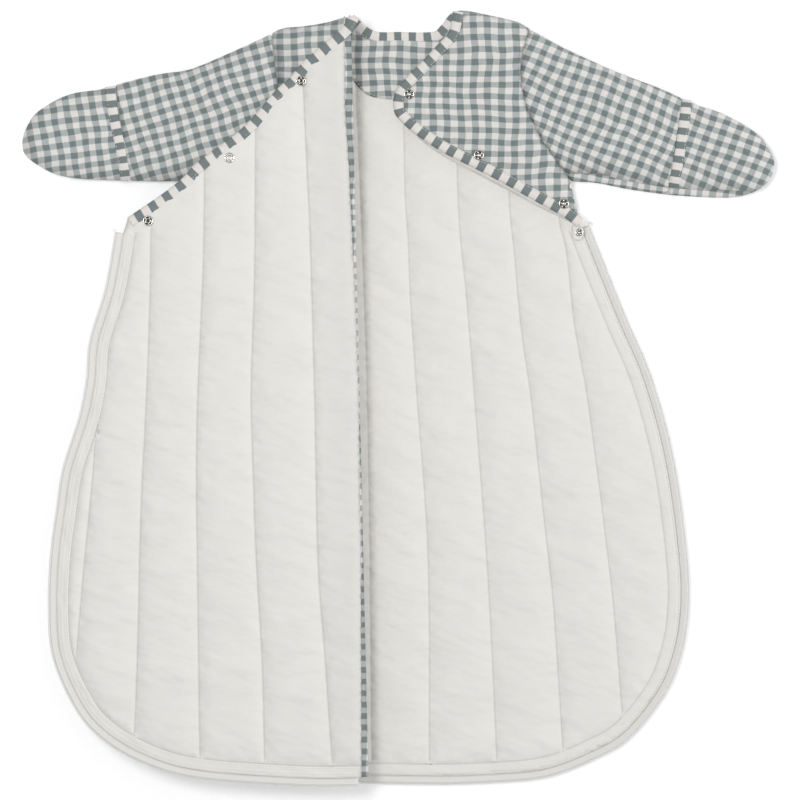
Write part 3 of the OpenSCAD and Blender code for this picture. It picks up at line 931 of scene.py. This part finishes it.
_, top_z = back_levels(back.flat)
rise, drift = back.lift()
drag = ripple(back.flat, 0.020, 0.7 * MM, 1, 2.6, math.radians(-35))
back_z = (top_z + limited(rise, 3.4 * MM, 0.8 * MM)
          + drag * ~back.held * np.clip(rise / (1.5 * MM), 0, 1))
back_points = np.column_stack([back.flat + drift, back_z])
# The back's quilting lines are painted darker, as shade in their grooves.
back_lining = cloth_piece("back_lining_cloth", back_points, back.tris, back.flat, LINING,
                          "lining", body="bag", replaces=["back_lining"],
                          groove_shade=back.seam.astype(float))
coarse, coarse_tris, *_ = cloth_net(BACK_OUTLINE, [], 9 * MM)
low_z, top_z = back_levels(coarse)
shell = np.column_stack([coarse, low_z + ripple(coarse, 0.05, 0.15 * MM, 2) + 0.15 * MM])
back_shell = cloth_piece("back_shell_cloth", shell, coarse_tris, checks(coarse), GINGHAM,
                         "gingham", thickness=-CLOTH, body="bag", replaces=["back_shell"])
pad_piece("back_padding", np.column_stack([coarse, top_z - CLOTH - 1.0 * MM]),
          shell + [0, 0, CLOTH + 0.2 * MM], coarse_tris, coarse, WADDING, "wadding",
          body="bag", replaces=["back_wadding"])


def on_level(path, z, step=2 * MM):
    """The path as 3-D points at a height, or at the heights a function gives."""
    path = resample(np.asarray(path)[:, :2], step)
    heights = z(path) if callable(z) else np.full(len(path), z)
    return np.column_stack([path, heights])


def seam_stitches(name, cloth, seams, level, body):
    paths = []
    for seam in seams:
        line = resample(seam, 2 * MM)
        line = line[inside(line, cloth.outline) & (distance_to(line, cloth.border) > 3 * MM)]
        if len(line) > 3:
            paths.append(np.column_stack([line, level(line)]))
    stitches(name, paths, body, THREAD)


back.outline, back.border = BACK_OUTLINE, [NECK_LINE, ZIP_LINE]
seam_stitches("back_quilting", back, back_seams + [BACK_STITCH],
              lambda p: back_levels(p)[1] - 0.65 * MM, "bag")

# neck facing, on the lining
facing_outline = joined(NECK_LINE[::-1], smooth_curve(FACING_EDGE))
facing_flat, facing_tris, *_ = cloth_net(facing_outline, [], 3.5 * MM)
back_tree = tree_of(back_points)


def back_surface(flat):
    """Height of the back lining's upper side under each point."""
    heights = []
    for p in flat:
        found = back_tree.find_n((p[0], p[1], 0), 4)
        weight = [1 / (f[2] + 0.5 * MM) for f in found]
        heights.append(sum(back_points[f[1], 2] * w for f, w in zip(found, weight))
                       / sum(weight))
    return np.array(heights)


facing_z = back_surface(facing_flat) + CLOTH + 0.25 * MM
neck_facing = cloth_piece("neck_facing_cloth", np.column_stack([facing_flat, facing_z]),
                          facing_tris, checks(facing_flat, shift=(0.35, 0.2)), GINGHAM,
                          "gingham", body="bag", replaces=["neck_facing"])
facing_run = on_level(beside(smooth_curve(FACING_EDGE), 2.0 * MM),
                      lambda p: back_surface(p) + CLOTH + 0.3 * MM)
stitches("facing_stitching", [facing_run], "bag", WHITE_THREAD)


# ---- bindings ----

def edge_binding(name, path, inward, low_z, top_z, body, replaces, phase=0.0, seed=1,
                 square=7.5 * MM, stitch_at=7.4 * MM, thread=None):
    """A cloth binding wrapped round an edge; inward is 1 if the cloth is on the left."""
    line = resample(path, 1.6 * MM)
    wave = ripple(line, 0.012, 0.25 * MM, seed)
    line = np.column_stack([line, wave])
    high, low = top_z / MM, low_z / MM
    outer = [(8.7, high - 0.25), (8.4, high + 0.55), (7.4, high + 0.8), (6.4, high + 1.15),
             (3.0, high + 1.25), (0.8, high + 0.95), (-0.5, high + 0.1), (-1.0, high - 1.3),
             (-1.0, low + 1.3), (-0.5, low + 0.1), (0.6, low - 0.35), (3, low - 0.5),
             (8.2, low - 0.5), (8.5, low - 0.02)]
    inner = [(7.9, low - 0.02), (1.0, low - 0.02), (0.3, low + 0.6), (0.3, high - 0.6),
             (1.0, high - 0.05), (7.9, high - 0.05)]
    profile = np.array(outer + inner) * MM
    profile[:, 0] *= inward
    verts, faces, uv = sweep(line, profile, (1 / square, 1 / square))
    uv[:, 0] += phase
    piece(name, verts, faces, uv, BINDING, "binding", body, replaces)
    run = on_level(beside(path, inward * stitch_at), top_z + 0.78 * MM)
    stitches(name + "_stitching", [run], body, thread or THREAD, 2.6 * MM, 0.8 * MM)


edge_binding("neck_binding_cloth", NECK_LINE, -1, 0.6 * MM, BACK_TOP - 0.4 * MM, "bag",
             ["neck_binding"], seed=11, square=6.6 * MM)
edge_binding("flap_binding_cloth", DIAGONAL, 1, FLAP_LOW, FLAP_TOP - 1.2 * MM, "flap",
             ["flap_binding"], seed=12, stitch_at=6.2 * MM, thread=WHITE_THREAD)
edge_binding("bodice_binding_cloth", BODICE_LINE, 1, BODICE_LOW, BODICE_TOP, "bag",
             ["right_bodice_binding"], phase=0.24, seed=13, square=7.63 * MM)

# ---- flap ----

MIDDLE_Z = FLAP_TAPE + TAPE_T / 2


def flap_levels(flat):
    close = 1 - dome(distance_to(flat, [FLAP_LINE]) / 0.010)
    upper = FLAP_TOP - QUILT
    return (FLAP_LOW + 0.1 * MM + (MIDDLE_Z - 1.0 * MM - FLAP_LOW) * close,
            upper + (MIDDLE_Z + 1.2 * MM - upper) * close)


_, top_z = flap_levels(flap.flat)
rise, drift = flap.lift()
drag = ripple(flap.flat, 0.018, 0.9 * MM, 5, 3.0, math.radians(35))
near_top = ease((flap.flat[:, 1] - 0.05) / 0.15)
z = top_z + limited(rise, 3.2 * MM, 0.8 * MM) + drag * ~flap.held * near_top
wrapped = round_fold(flap.flat + drift, z, False)
by_fold = ease(1 - (lining_side(flap.flat[:, 1]) - flap.flat[:, 0]) / 0.045)
# Painted shade: the lining is darkened along its quilting seams and, more faintly, towards the
# fold.
flap_lining = cloth_piece("flap_lining_cloth", wrapped, flap.tris, flap.flat, LINING,
                          "lining", body="flap", replaces=["flap_lining"],
                          groove_shade=np.maximum(flap.seam, 0.4 * by_fold))
flap.outline, flap.border = flap_outline(lining_side), [DIAGONAL, FLAP_LINE]
seam_stitches("flap_quilting", flap, flap_seams + [FLAP_STITCH],
              lambda p: flap_levels(p)[1] - 0.65 * MM, "flap")

flap_flat, flap_tris, *_ = cloth_net(flap_outline(shell_side), [], 6 * MM)
low_z = flap_levels(flap_flat)[0] + ripple(flap_flat, 0.04, 0.12 * MM, 6)
low_z += (HINGE_POINT[2] + 0.05 * MM - low_z) * by_hinge(flap_flat)
flap_shell = cloth_piece("flap_shell_cloth", np.column_stack([flap_flat, low_z]), flap_tris,
                         checks(flap_flat), GINGHAM, "gingham", thickness=-CLOTH,
                         body="flap", replaces=["flap_shell"])
pad_edge = beside(DIAGONAL, 4 * MM)
pad_flat, pad_tris, *_ = cloth_net(flap_outline(lambda y: hinge_x(y, -15 * MM), 0.310,
                                                pad_edge[pad_edge[:, 1] < 0.312]), [], 9 * MM)
low_z, top_z = flap_levels(pad_flat)
pad_piece("flap_padding", np.column_stack([pad_flat, top_z - CLOTH - 0.9 * MM]),
          np.column_stack([pad_flat, low_z + CLOTH + 0.3 * MM]), pad_tris, pad_flat, WADDING,
          "wadding", body="flap", replaces=["flap_wadding"])

# ---- left half of the front ----

rise, _ = front.lift()
high = left_height(front.flat)
high += (HINGE_POINT[2] - 0.2 * MM - high) * by_hinge(front.flat)
rise = limited(rise, 0.55 * MM, 0.3 * MM)
sewn = crease(front.flat, ARMHOLE_L)
rise -= 1.0 * MM * sewn
z = np.minimum(high - 0.35 * MM + rise, HINGE_POINT[2] - 0.05 * MM)
# The armhole seam's crease is painted darker, as shade.
front_shell = cloth_piece("front_left_shell_cloth",
                          np.column_stack([front.flat, z]), front.tris,
                          checks(front.flat), GINGHAM, "gingham", body="bag",
                          replaces=["front_left_shell", "left_side_seam",
                                    "left_shoulder_seam"], groove_shade=sewn)


def front_lining_level(flat):
    """Lower side of the front's left half: flat, and up to its seams at the edges."""
    high = left_height(flat)
    gap = (FRONT_TOP - FRONT_LOW) - QUILT
    thick = 0.9 * MM + (gap - 0.9 * MM) * dome((high - 8 * MM) / (14 * MM))
    return np.maximum(high - thick, 5.9 * MM)


lining = Cloth("front_lining", front_outline(lining_side, 0.325, -0.075),
               [smooth_curve(c) for c in FRONT_CHANNELS], 6.0 * MM, flank=2.2 * MM,
               puff=1.5 * MM)
WAITING.clear()  # this lining keeps its first shape and isn't simulated
rise, _ = lining.lift()
level = front_lining_level(np.column_stack([np.minimum(lining.flat[:, 0],
                                                       shell_side(lining.flat[:, 1])),
                                            lining.flat[:, 1]]))
flat_level = FRONT_LOW + QUILT
near_fold = ease((lining.flat[:, 0] + 0.075) / 0.02)
level = level + (flat_level - level) * near_fold
level = np.where(near_fold >= 1, flat_level, level)
wrapped = round_fold(lining.flat, level - np.minimum(rise, 1.4 * MM) * (level > 0.02), True)
bare = ~inside(wrapped[:, :2], flap_outline(lining_side)) & (lining.flat[:, 1] > 0.24)
wrapped[bare, 2] = np.minimum(wrapped[bare, 2], left_height(wrapped[bare, :2]) - 2.6 * MM)
front_lining = cloth_piece("front_left_lining_cloth", wrapped, lining.tris, lining.flat,
                           LINING, "lining", thickness=-CLOTH, body="bag",
                           replaces=["front_left_lining"])
pad_flat, pad_tris, *_ = cloth_net(front_outline(lambda y: hinge_x(y, -15 * MM)), [], 9 * MM)
pad_top = left_height(pad_flat) - CLOTH - 0.75 * MM
pad_low = np.maximum(front_lining_level(pad_flat) + CLOTH + 0.2 * MM, 6.3 * MM)
pad_piece("front_left_padding", np.column_stack([pad_flat, pad_top]),
          np.column_stack([pad_flat, np.minimum(pad_low, pad_top - 0.2 * MM)]), pad_tris,
          pad_flat, WADDING, "wadding", body="bag", replaces=["front_left_wadding"])

# the padding inside the fold, and the hem that joins the front to its zip tape
fold_y = np.linspace(-0.333, 0.300, 90)
ROLL = 4.4 * MM  # radius of the roll of wadding
roll = [(-math.sin(a) * ROLL, math.cos(a) * ROLL) for a in np.linspace(0, math.pi, 12)]
roll += [(3 * MM, -ROLL), (3 * MM, ROLL)]
fold_path = np.column_stack([fold_start(fold_y), fold_y,
                             np.full(len(fold_y), HINGE_POINT[2])])
verts, faces, uv = sweep(fold_path, roll)
fold_pad = piece("fold_padding", verts, faces, uv, WADDING, "wadding",
                 replaces=["front_fold"])
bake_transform(fold_pad)

hem_x = np.linspace(-0.047, ZIP_END, 60)
hem_top = front_lining_level(np.column_stack([hem_x, np.full(len(hem_x), ZIP_Y)]))
hem_verts, hem_uv = [], []
for x, z in zip(hem_x, np.maximum(hem_top, FRONT_TAPE + 1.7 * MM)):
    for y_off, height in ((0, z), (-0.7 * MM, z), (-0.7 * MM, FRONT_TAPE - 0.1 * MM),
                          (0, FRONT_TAPE - 0.1 * MM)):
        hem_verts.append((x, ZIP_Y - 0.3 * MM + y_off, height))
        hem_uv.append((x, height))
piece("front_left_hem_cloth", np.array(hem_verts), tube_faces(len(hem_x), 4),
      np.array(hem_uv), LINING, "lining", "bag", ["front_left_hem"])

# ---- bodice, sleeves and mitts ----

rise, drift = bodice.lift()
sewn = crease(bodice.flat, ARMHOLE_R)
high = right_height(bodice.flat) - 1.0 * MM * sewn
bodice_points = np.column_stack([bodice.flat + drift, high - 0.5 * MM
                                 + limited(rise, 1.6 * MM, 1.0 * MM)
                                 * np.clip(distance_to(bodice.flat, [BODICE_LINE])
                                           / (20 * MM), 0, 1)])
# The armhole seam's crease is painted darker, as shade.
bodice_shell = cloth_piece("right_bodice_shell_cloth", bodice_points, bodice.tris,
                           checks(bodice.flat, shift=(0.1, 0.3)), GINGHAM, "gingham",
                           body="bag", replaces=["right_bodice_shell",
                                                 "right_shoulder_seam"], groove_shade=sewn)
flat, tris, *_ = cloth_net(bodice_outline, [], 6 * MM)
high = right_height(flat)
thick = 0.4 * MM + 3.8 * MM * dome((high - SEAM_Z) / (9 * MM))
inner = np.column_stack([flat, np.maximum(high - 0.5 * MM - thick - CLOTH, 5.7 * MM)])
bodice_lining = cloth_piece("right_bodice_lining_cloth", inner, tris, flat, LINING, "lining",
                            thickness=-CLOTH, body="bag", replaces=["right_bodice_lining"])
pad_piece("right_bodice_padding", np.column_stack([flat, high - 0.5 * MM - CLOTH - 0.35 * MM]),
          inner + [0, 0, CLOTH + 0.15 * MM], tris, flat, WADDING, "wadding", body="bag",
          replaces=["right_bodice_wadding"])

# the bodice's lining, which shows a little below its binding
peek = BODICE_LINE[int(len(BODICE_LINE) * 0.60):-6]
width = (3.4 * MM) * np.sin(np.linspace(0.25, math.pi - 0.3, len(peek)))
t = tangents(peek)
normal = np.stack([-t[:, 1], t[:, 0]], axis=1)
inner_edge = peek + normal * 4 * MM
outer_edge = peek - normal * (1.0 * MM + width[:, None])
verts = []
for a, b in zip(inner_edge, outer_edge):
    verts += [(a[0], a[1], BODICE_LOW - 1.0 * MM), (b[0], b[1], BODICE_LOW - 2.6 * MM),
              (b[0], b[1], BODICE_LOW - 1.7 * MM), (a[0], a[1], BODICE_LOW - 0.6 * MM)]
verts = np.array(verts)
piece("bodice_lining_edge", verts, tube_faces(len(peek), 4), verts[:, :2], LINING, "lining",
      "bag")


def front_pad(name, cloth, level, spread, body, replaces, turn, shift=(0, 0),
              period=(12.0, 10.2), least=5.5 * MM, deep=4.0 * MM, seam=None):
    """The stuffed front of a sleeve or mitt, under its swollen gingham."""
    rise, drift = cloth.lift()
    sewn = np.zeros(len(cloth.flat)) if seam is None else crease(cloth.flat, seam)
    high = level(cloth.flat) - 1.0 * MM * sewn
    full = np.clip((high - 6.0 * MM) / (6 * MM), 0, 1)
    upper = np.column_stack([cloth.flat + drift,
                             high + limited(rise, spread, spread) * full])
    thick = 0.35 * MM + deep * dome(full)
    lower = np.column_stack([cloth.flat, np.maximum(high - thick, least)])
    # Painted shade: the colour is darker along the seam's crease.
    pad_piece(name, upper, lower, cloth.tris, checks(cloth.flat, period, turn, shift),
              GINGHAM, "gingham", body=body, replaces=replaces, groove_shade=sewn)


def back_pad(name, outline, thick, turn, blend_with, start, end, replaces):
    """A sleeve's or mitt's back: a pad, flat but for its rounded edges."""
    flat, tris, *_ = cloth_net(outline, [], 4 * MM)
    round_edge = dome(distance_to(flat, [looped(outline)]) / (5 * MM))
    upper = np.column_stack([flat, 3.4 * MM + (thick - 3.4 * MM) * round_edge])
    lower = np.column_stack([flat, 3.1 * MM - (3.0 * MM) * round_edge])
    obj = pad_piece(name, upper, lower, tris, checks(flat, (11.5, 10.1), turn, (0.5, 0.0)),
                    GINGHAM, "gingham", replaces=replaces)
    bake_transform(obj)


WRISTS = {}
for side in ("right", "left"):
    joint = JOINTS[side + "_mitt_fold"]
    p, axis = np.array(joint["pos_m"]), np.array(joint["axis"])
    out = np.array([abs(axis[1]), -axis[0] * np.sign(axis[1]), 0])
    out *= 1 if side == "right" else -1
    WRISTS[side] = (tuple(p - out * 12 * MM), tuple(p + out * 12 * MM))

front_pad("right_sleeve_front_cloth", sleeve_r, right_height, 1.3 * MM, "bag",
          ["right_sleeve_front"], -22, (0.2, 0.4), seam=ARMHOLE_R)
back_pad("right_sleeve_back_cloth",
         joined(SLEEVE_TOP_R, SLEEVE_LOW_R[::-1], ARMHOLE_R[::-1]), 5.3 * MM, -8,
         "right_mitt", *WRISTS["right"], ["right_sleeve_back"])
front_pad("left_sleeve_front_cloth", sleeve_l, left_height, 1.3 * MM, "bag",
          ["left_sleeve_front"], 17, (0.3, 0.1), seam=ARMHOLE_L)
back_pad("left_sleeve_back_cloth",
         joined(SLEEVE_TOP_L, SLEEVE_LOW_L[::-1], ARMHOLE_L[::-1]), 5.3 * MM, 16,
         "left_mitt", *WRISTS["left"], ["left_sleeve_back"])


def mitt_level(edge, low_seam=()):
    paths = [edge] + list(low_seam)
    return lambda p: (SEAM_Z + (MITT_TOP - 0.6 * MM - SEAM_Z)
                      * dome(distance_to(p, paths) / 0.020))


mitt_r_level = mitt_level(MITT_R[:65], [smooth_curve([(323, 187), (271, 188.5),
                                                      (244.3, 190)])])
mitt_l_level = mitt_level(MITT_L)
front_pad("right_mitt_front_cloth", mitt_r, mitt_r_level, 1.2 * MM, "right_mitt",
          ["right_mitt_front"], -21, (0.1, 0.3), (12.2, 9.9), least=5.2 * MM, deep=3.4 * MM)
back_pad("right_mitt_back_cloth", joined(MITT_R), 4.9 * MM, -6, "right_mitt",
         *WRISTS["right"], ["right_mitt_back"])
front_pad("left_mitt_front_cloth", mitt_l, mitt_l_level, 1.2 * MM, "left_mitt",
          ["left_mitt_front"], 8, (0.2, 0.2), least=5.2 * MM, deep=3.4 * MM)
back_pad("left_mitt_back_cloth", joined(MITT_L), 4.9 * MM, 8, "left_mitt",
         *WRISTS["left"], ["left_mitt_back"])


def cuff(name, line, inward, level, body, replaces, seed):
    """The binding of a mitt's mouth, over the mitt's swollen front."""
    line = resample(smooth_curve(line), 1.5 * MM)
    wave = ripple(line, 0.014, 0.5 * MM, seed)
    z = np.minimum(level(line), level(beside(line, inward * 6 * MM)))
    s = lengths(line)
    end_drop = np.minimum(s, s[-1] - s)
    path = np.column_stack([line, np.maximum(z, 5.6 * MM) + wave
                            + 0.5 * MM * dome(end_drop / (6 * MM))])
    profile = np.array([(-0.3, -1.2), (-0.9, -0.6), (-0.9, 0.35), (-0.1, 1.05), (2.5, 1.35),
                        (5.5, 1.3), (7.9, 0.95), (8.6, 0.35), (8.3, -0.5), (4, -0.8)]) * MM
    profile[:, 0] *= inward
    verts, faces, uv = sweep(path, profile, (1 / (6.4 * MM), 1 / (6.4 * MM)))
    piece(name, verts, faces, uv, BINDING, "binding", body, replaces)
    run = path[3:-3].copy()
    run[:, :2] = beside(path, inward * 7.3 * MM)[3:-3]
    run[:, 2] += 0.85 * MM
    stitches(name + "_stitching", [run], body, WHITE_THREAD)


cuff("right_cuff_binding_cloth", [(256.5, 270), (254, 250), (251, 228), (247.5, 208),
                                  (244.2, 190)], 1, mitt_r_level, "right_mitt",
     ["right_cuff_binding"], 21)
cuff("left_cuff_binding_cloth", [(-257, 282), (-254.5, 262), (-252, 248), (-246, 222),
                                 (-242.5, 197)], -1, mitt_l_level, "left_mitt",
     ["left_cuff_binding"], 22)

# ---- zip ----


def tape(name, path, inward, z, body, replaces):
    """Zip tape beside an edge: a strip that starts a little under the edge."""
    line = on_level(path, z, 2.5 * MM)
    wide = -inward * TAPE_W / MM
    profile = np.array([(inward * 0.2, 0.1), (0.3 * wide, 0.0), (0.36 * wide, -0.12),
                        (0.7 * wide, -0.05), (wide, 0.05), (wide, 0.75), (0.72 * wide, 0.95),
                        (0.66 * wide, 0.72), (0.36 * wide, 0.8), (0.3 * wide, 0.62),
                        (inward * 0.2, 0.7)]) * MM
    verts, faces, uv = sweep(line, profile)
    piece(name, verts, faces, uv, TAPE, "zip_tape", body, replaces)


def edge_facing(name, path, inward, z, body):
    """The folded facing between a panel's edge and its line of stitching."""
    line = on_level(path, z)
    profile = [(0.1, -1.0), (0.1, -0.1), (0.9, 0.5), (2.0, 0.6), (2.7, 0.3), (3.5, 0.7),
               (5.2, 0.95), (6.2, 0.5), (7.0, 0.85), (9.4, 0.8), (10.4, 0.15), (10.5, -0.3)]
    profile = np.array(profile) * MM
    profile[:, 0] *= inward
    verts, faces, uv = sweep(line, profile)
    piece(name, verts, faces, uv, LINING, "lining", body)
    runs = [on_level(beside(line, inward * d * MM), z + up * MM)
            for d, up in ((1.6, 0.55), (9.0, 0.78))]
    stitches(name + "_stitching", runs, body, THREAD, 2.2 * MM, 1.0 * MM, 0.4 * MM,
             0.25 * MM)


tape("back_zip_tape_cloth", ZIP_LINE, -1, BACK_TAPE, "bag", ["back_zip_tape"])
tape("flap_zip_tape_cloth", FLAP_LINE, 1, FLAP_TAPE, "flap", ["flap_zip_tape"])
front_zip = np.array([(float(hinge_x(ZIP_Y, -12 * MM)), ZIP_Y), (ZIP_END, ZIP_Y)])
tape("front_left_zip_tape_cloth", front_zip, -1, FRONT_TAPE, "bag", ["front_left_zip_tape"])


def coil(name, path, inward, z, body, replaces):
    line = resample(path, 2 * MM)
    line = beside(line, -inward * (TAPE_W + COIL_D / 2))
    helix(name, np.column_stack([line, np.full(len(line), z)]), COIL_D / 2, 1.45 * MM,
          0.3 * MM, body, replaces)


coil("back_zip_coil_wire", ZIP_LINE, -1, BACK_TAPE + TAPE_T / 2, "bag", ["back_zip_coil"])
coil("flap_zip_coil_wire", FLAP_LINE, 1, MIDDLE_Z, "flap", ["flap_zip_coil"])
coil("front_left_zip_coil_wire", front_zip, -1, FRONT_TAPE + TAPE_T / 2, "bag",
     ["front_left_zip_coil"])
edge_facing("back_edge_facing", ZIP_LINE, -1, 5.1 * MM, "bag")
edge_facing("flap_edge_facing", FLAP_LINE, 1, MIDDLE_Z + 1.1 * MM, "flap")

# CAD nodes that stay, in their own metal
for metal, nodes in ((ENAMEL, ("zip_slider", "zip_pull", "zip_end_stop", "back_zip_stop",
                               "flap_zip_stop")),
                     (NICKEL, ("flap_snap_rings", "bodice_snap_rings"))):
    for node in nodes:
        frame["nodes"][node].data.materials.clear()
        frame["nodes"][node].data.materials.append(metal)

# ---- snaps ----


def lathe(profile, at, steps=40):
    """A ring or disc turned round the vertical through a point; profile is (radius, up)."""
    count = len(profile)
    verts = [(at[0] + r * math.cos(a), at[1] + r * math.sin(a), at[2] + z)
             for a in np.linspace(0, 2 * math.pi, steps, endpoint=False)
             for r, z in profile]
    faces = [(i * count + k, ((i + 1) % steps) * count + k,
              ((i + 1) % steps) * count + (k + 1) % count, i * count + (k + 1) % count)
             for i in range(steps) for k in range(count)]
    return verts, faces


def circle(radius, thick, up, steps=10):
    return [(radius + thick * math.cos(a), up + thick * math.sin(a))
            for a in np.linspace(0, 2 * math.pi, steps, endpoint=False)]


def ring_snap(name, at, turn, body, stud, size=1.0):
    """A prong snap: two rings and five petals between them, over a dark disc that stands for the
    shade in its recess.
    """
    verts, faces = [], []

    def add(part):
        base = len(verts)
        verts.extend(part[0])
        faces.extend(tuple(base + i for i in f) for f in part[1])

    add(lathe(circle(4.1 * MM, 0.62 * MM, 0.62 * MM), at))
    if stud:
        add(lathe([(0.01 * MM, 0), (1.75 * MM, 0), (1.8 * MM, 1.2 * MM), (1.6 * MM, 1.7 * MM),
                   (1.0 * MM, 1.95 * MM), (0.01 * MM, 2.0 * MM)], at, 24))
    else:
        add(lathe(circle(1.95 * MM, 0.42 * MM, 0.75 * MM), at, 28))
    for k in range(5):
        a = turn + k * 2 * math.pi / 5
        way, side = np.array([math.cos(a), math.sin(a), 0]), np.array([-math.sin(a),
                                                                       math.cos(a), 0])
        rows = []
        for r, half, z in ((1.7, 0.45, 0.75), (2.3, 0.75, 1.15), (3.1, 0.85, 1.2),
                           (3.8, 0.6, 0.9)):
            mid = np.array(at) + way * r * MM
            rows.append([mid + side * half * MM + [0, 0, (z - 0.4) * MM],
                         mid + side * half * MM * 0.7 + [0, 0, z * MM],
                         mid - side * half * MM * 0.7 + [0, 0, z * MM],
                         mid - side * half * MM + [0, 0, (z - 0.4) * MM]])
        petal = [tuple(v) for row in rows for v in row]
        add((petal, [f[::-1] for f in tube_faces(len(rows), 4)]))
    verts = np.array(verts)
    metal = piece(name, verts, faces, verts[:, :2], NICKEL, "snap_metal", body)
    # A dark disc in the recess: painted shade.
    disc, disc_faces = lathe([(0.01 * MM, 0), (3.9 * MM, 0), (3.9 * MM, 0.25 * MM),
                              (0.01 * MM, 0.3 * MM)], at, 30)
    disc = np.array(disc)
    base = piece(name + "_base", disc, disc_faces, disc[:, :2], RECESS_SHADE, "snap_metal", body)
    for obj in (metal, base):
        for vertex in obj.data.vertices:
            vertex.co = Vector(at) + (vertex.co - Vector(at)) * size
    return metal


FLAP_SNAP_Z, BODICE_SNAP_Z = FLAP_TOP - 0.3 * MM, BODICE_TOP + 1.0 * MM
for i, (x, y) in enumerate(FLAP_SNAPS):
    snap = ring_snap(f"flap_snap_{i + 1}", (x * MM, y * MM, FLAP_SNAP_Z), 0.4 + i, "flap",
                     False)
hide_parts("flap_snap_sockets")
for i, (x, y) in enumerate(BODICE_SNAPS):
    snap = ring_snap(f"bodice_snap_{i + 1}", (x * MM, y * MM, BODICE_SNAP_Z), 0.9 + i, "bag",
                     True)
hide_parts("bodice_snap_studs")

# the tab that covers the zip's upper end
tx, ty = GUARD_TAB[0] * MM, GUARD_TAB[1] * MM
tab = joined(smooth_curve([(157, 144), (156.5, 155.5), (161, 156.3), (165, 155),
                           (167.2, 151.5), (167, 147.5), (164.5, 143.6), (160.5, 142.4),
                           (157, 144)]))
flat, tris, *_ = cloth_net(tab, [], 2 * MM)
close = dome(distance_to(flat, [looped(tab)]) / (2.5 * MM))
verts, faces = closed(np.column_stack([flat, BACK_TOP + (0.9 + 0.8 * close) * MM]),
                      np.column_stack([flat, np.full(len(flat), BACK_TOP + 0.2 * MM)]), tris)
piece("zip_guard_tab_cloth", verts, faces, np.vstack([flat, flat]), LINING, "lining", "bag",
      ["zip_guard_tab"])
snap = ring_snap("zip_guard_snap_ring", (tx, ty, BACK_TOP + 1.5 * MM), 0.2, "bag", True,
                 0.75)
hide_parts("zip_guard_snap")

# ---- stage, light and camera ----

floor_look = Look("floor", Roughness=1.0, Specular_IOR_Level=0.0,
                  Base_Color=(0.94, 0.94, 0.945, 1.0))
floor = mesh_object("floor", [(-5, -5, -0.0004), (5, -5, -0.0004), (5, 5, -0.0004),
                              (-5, 5, -0.0004)], [(0, 1, 2, 3)], smooth=False)
floor.data.materials.append(floor_look.material)


def area_light(name, place, target, size, power, shadow=True):
    data = bpy.data.lights.new(name, "AREA")
    data.shape, data.size, data.energy, data.use_shadow = "DISK", size, power, shadow
    lamp = bpy.data.objects.new(name, data)
    lamp.location = place
    way = Vector(target) - Vector(place)
    lamp.rotation_euler = way.to_track_quat("-Z", "Y").to_euler()
    bpy.context.scene.collection.objects.link(lamp)


area_light("key", (4.0, 0.6, 3.4), (0, 0, 0), 2.6, 142, shadow=False)
area_light("drop", (-0.8, 0.45, 2.2), (0, 0, 0), 0.8, 20)
world = bpy.data.worlds.new("studio")
world.use_nodes = True
world.node_tree.nodes["Background"].inputs["Color"].default_value = (1, 1, 1, 1)
world.node_tree.nodes["Background"].inputs["Strength"].default_value = 0.52
scene = bpy.context.scene
scene.world = world
scene.view_settings.view_transform = "Standard"

camera_data = bpy.data.cameras.new("camera")
camera = bpy.data.objects.new("camera", camera_data)
CAMERA_HEIGHT, VIEW_PLANE, VIEW_SIZE = 4.0, 0.025, 0.720
camera.location = (1.35 * MM, -1.8 * MM, CAMERA_HEIGHT)
camera_data.sensor_fit = "HORIZONTAL"
camera_data.angle = 2 * math.atan(VIEW_SIZE / 2 / (CAMERA_HEIGHT - VIEW_PLANE))
camera_data.clip_end = 20
scene.collection.objects.link(camera)
scene.camera = camera
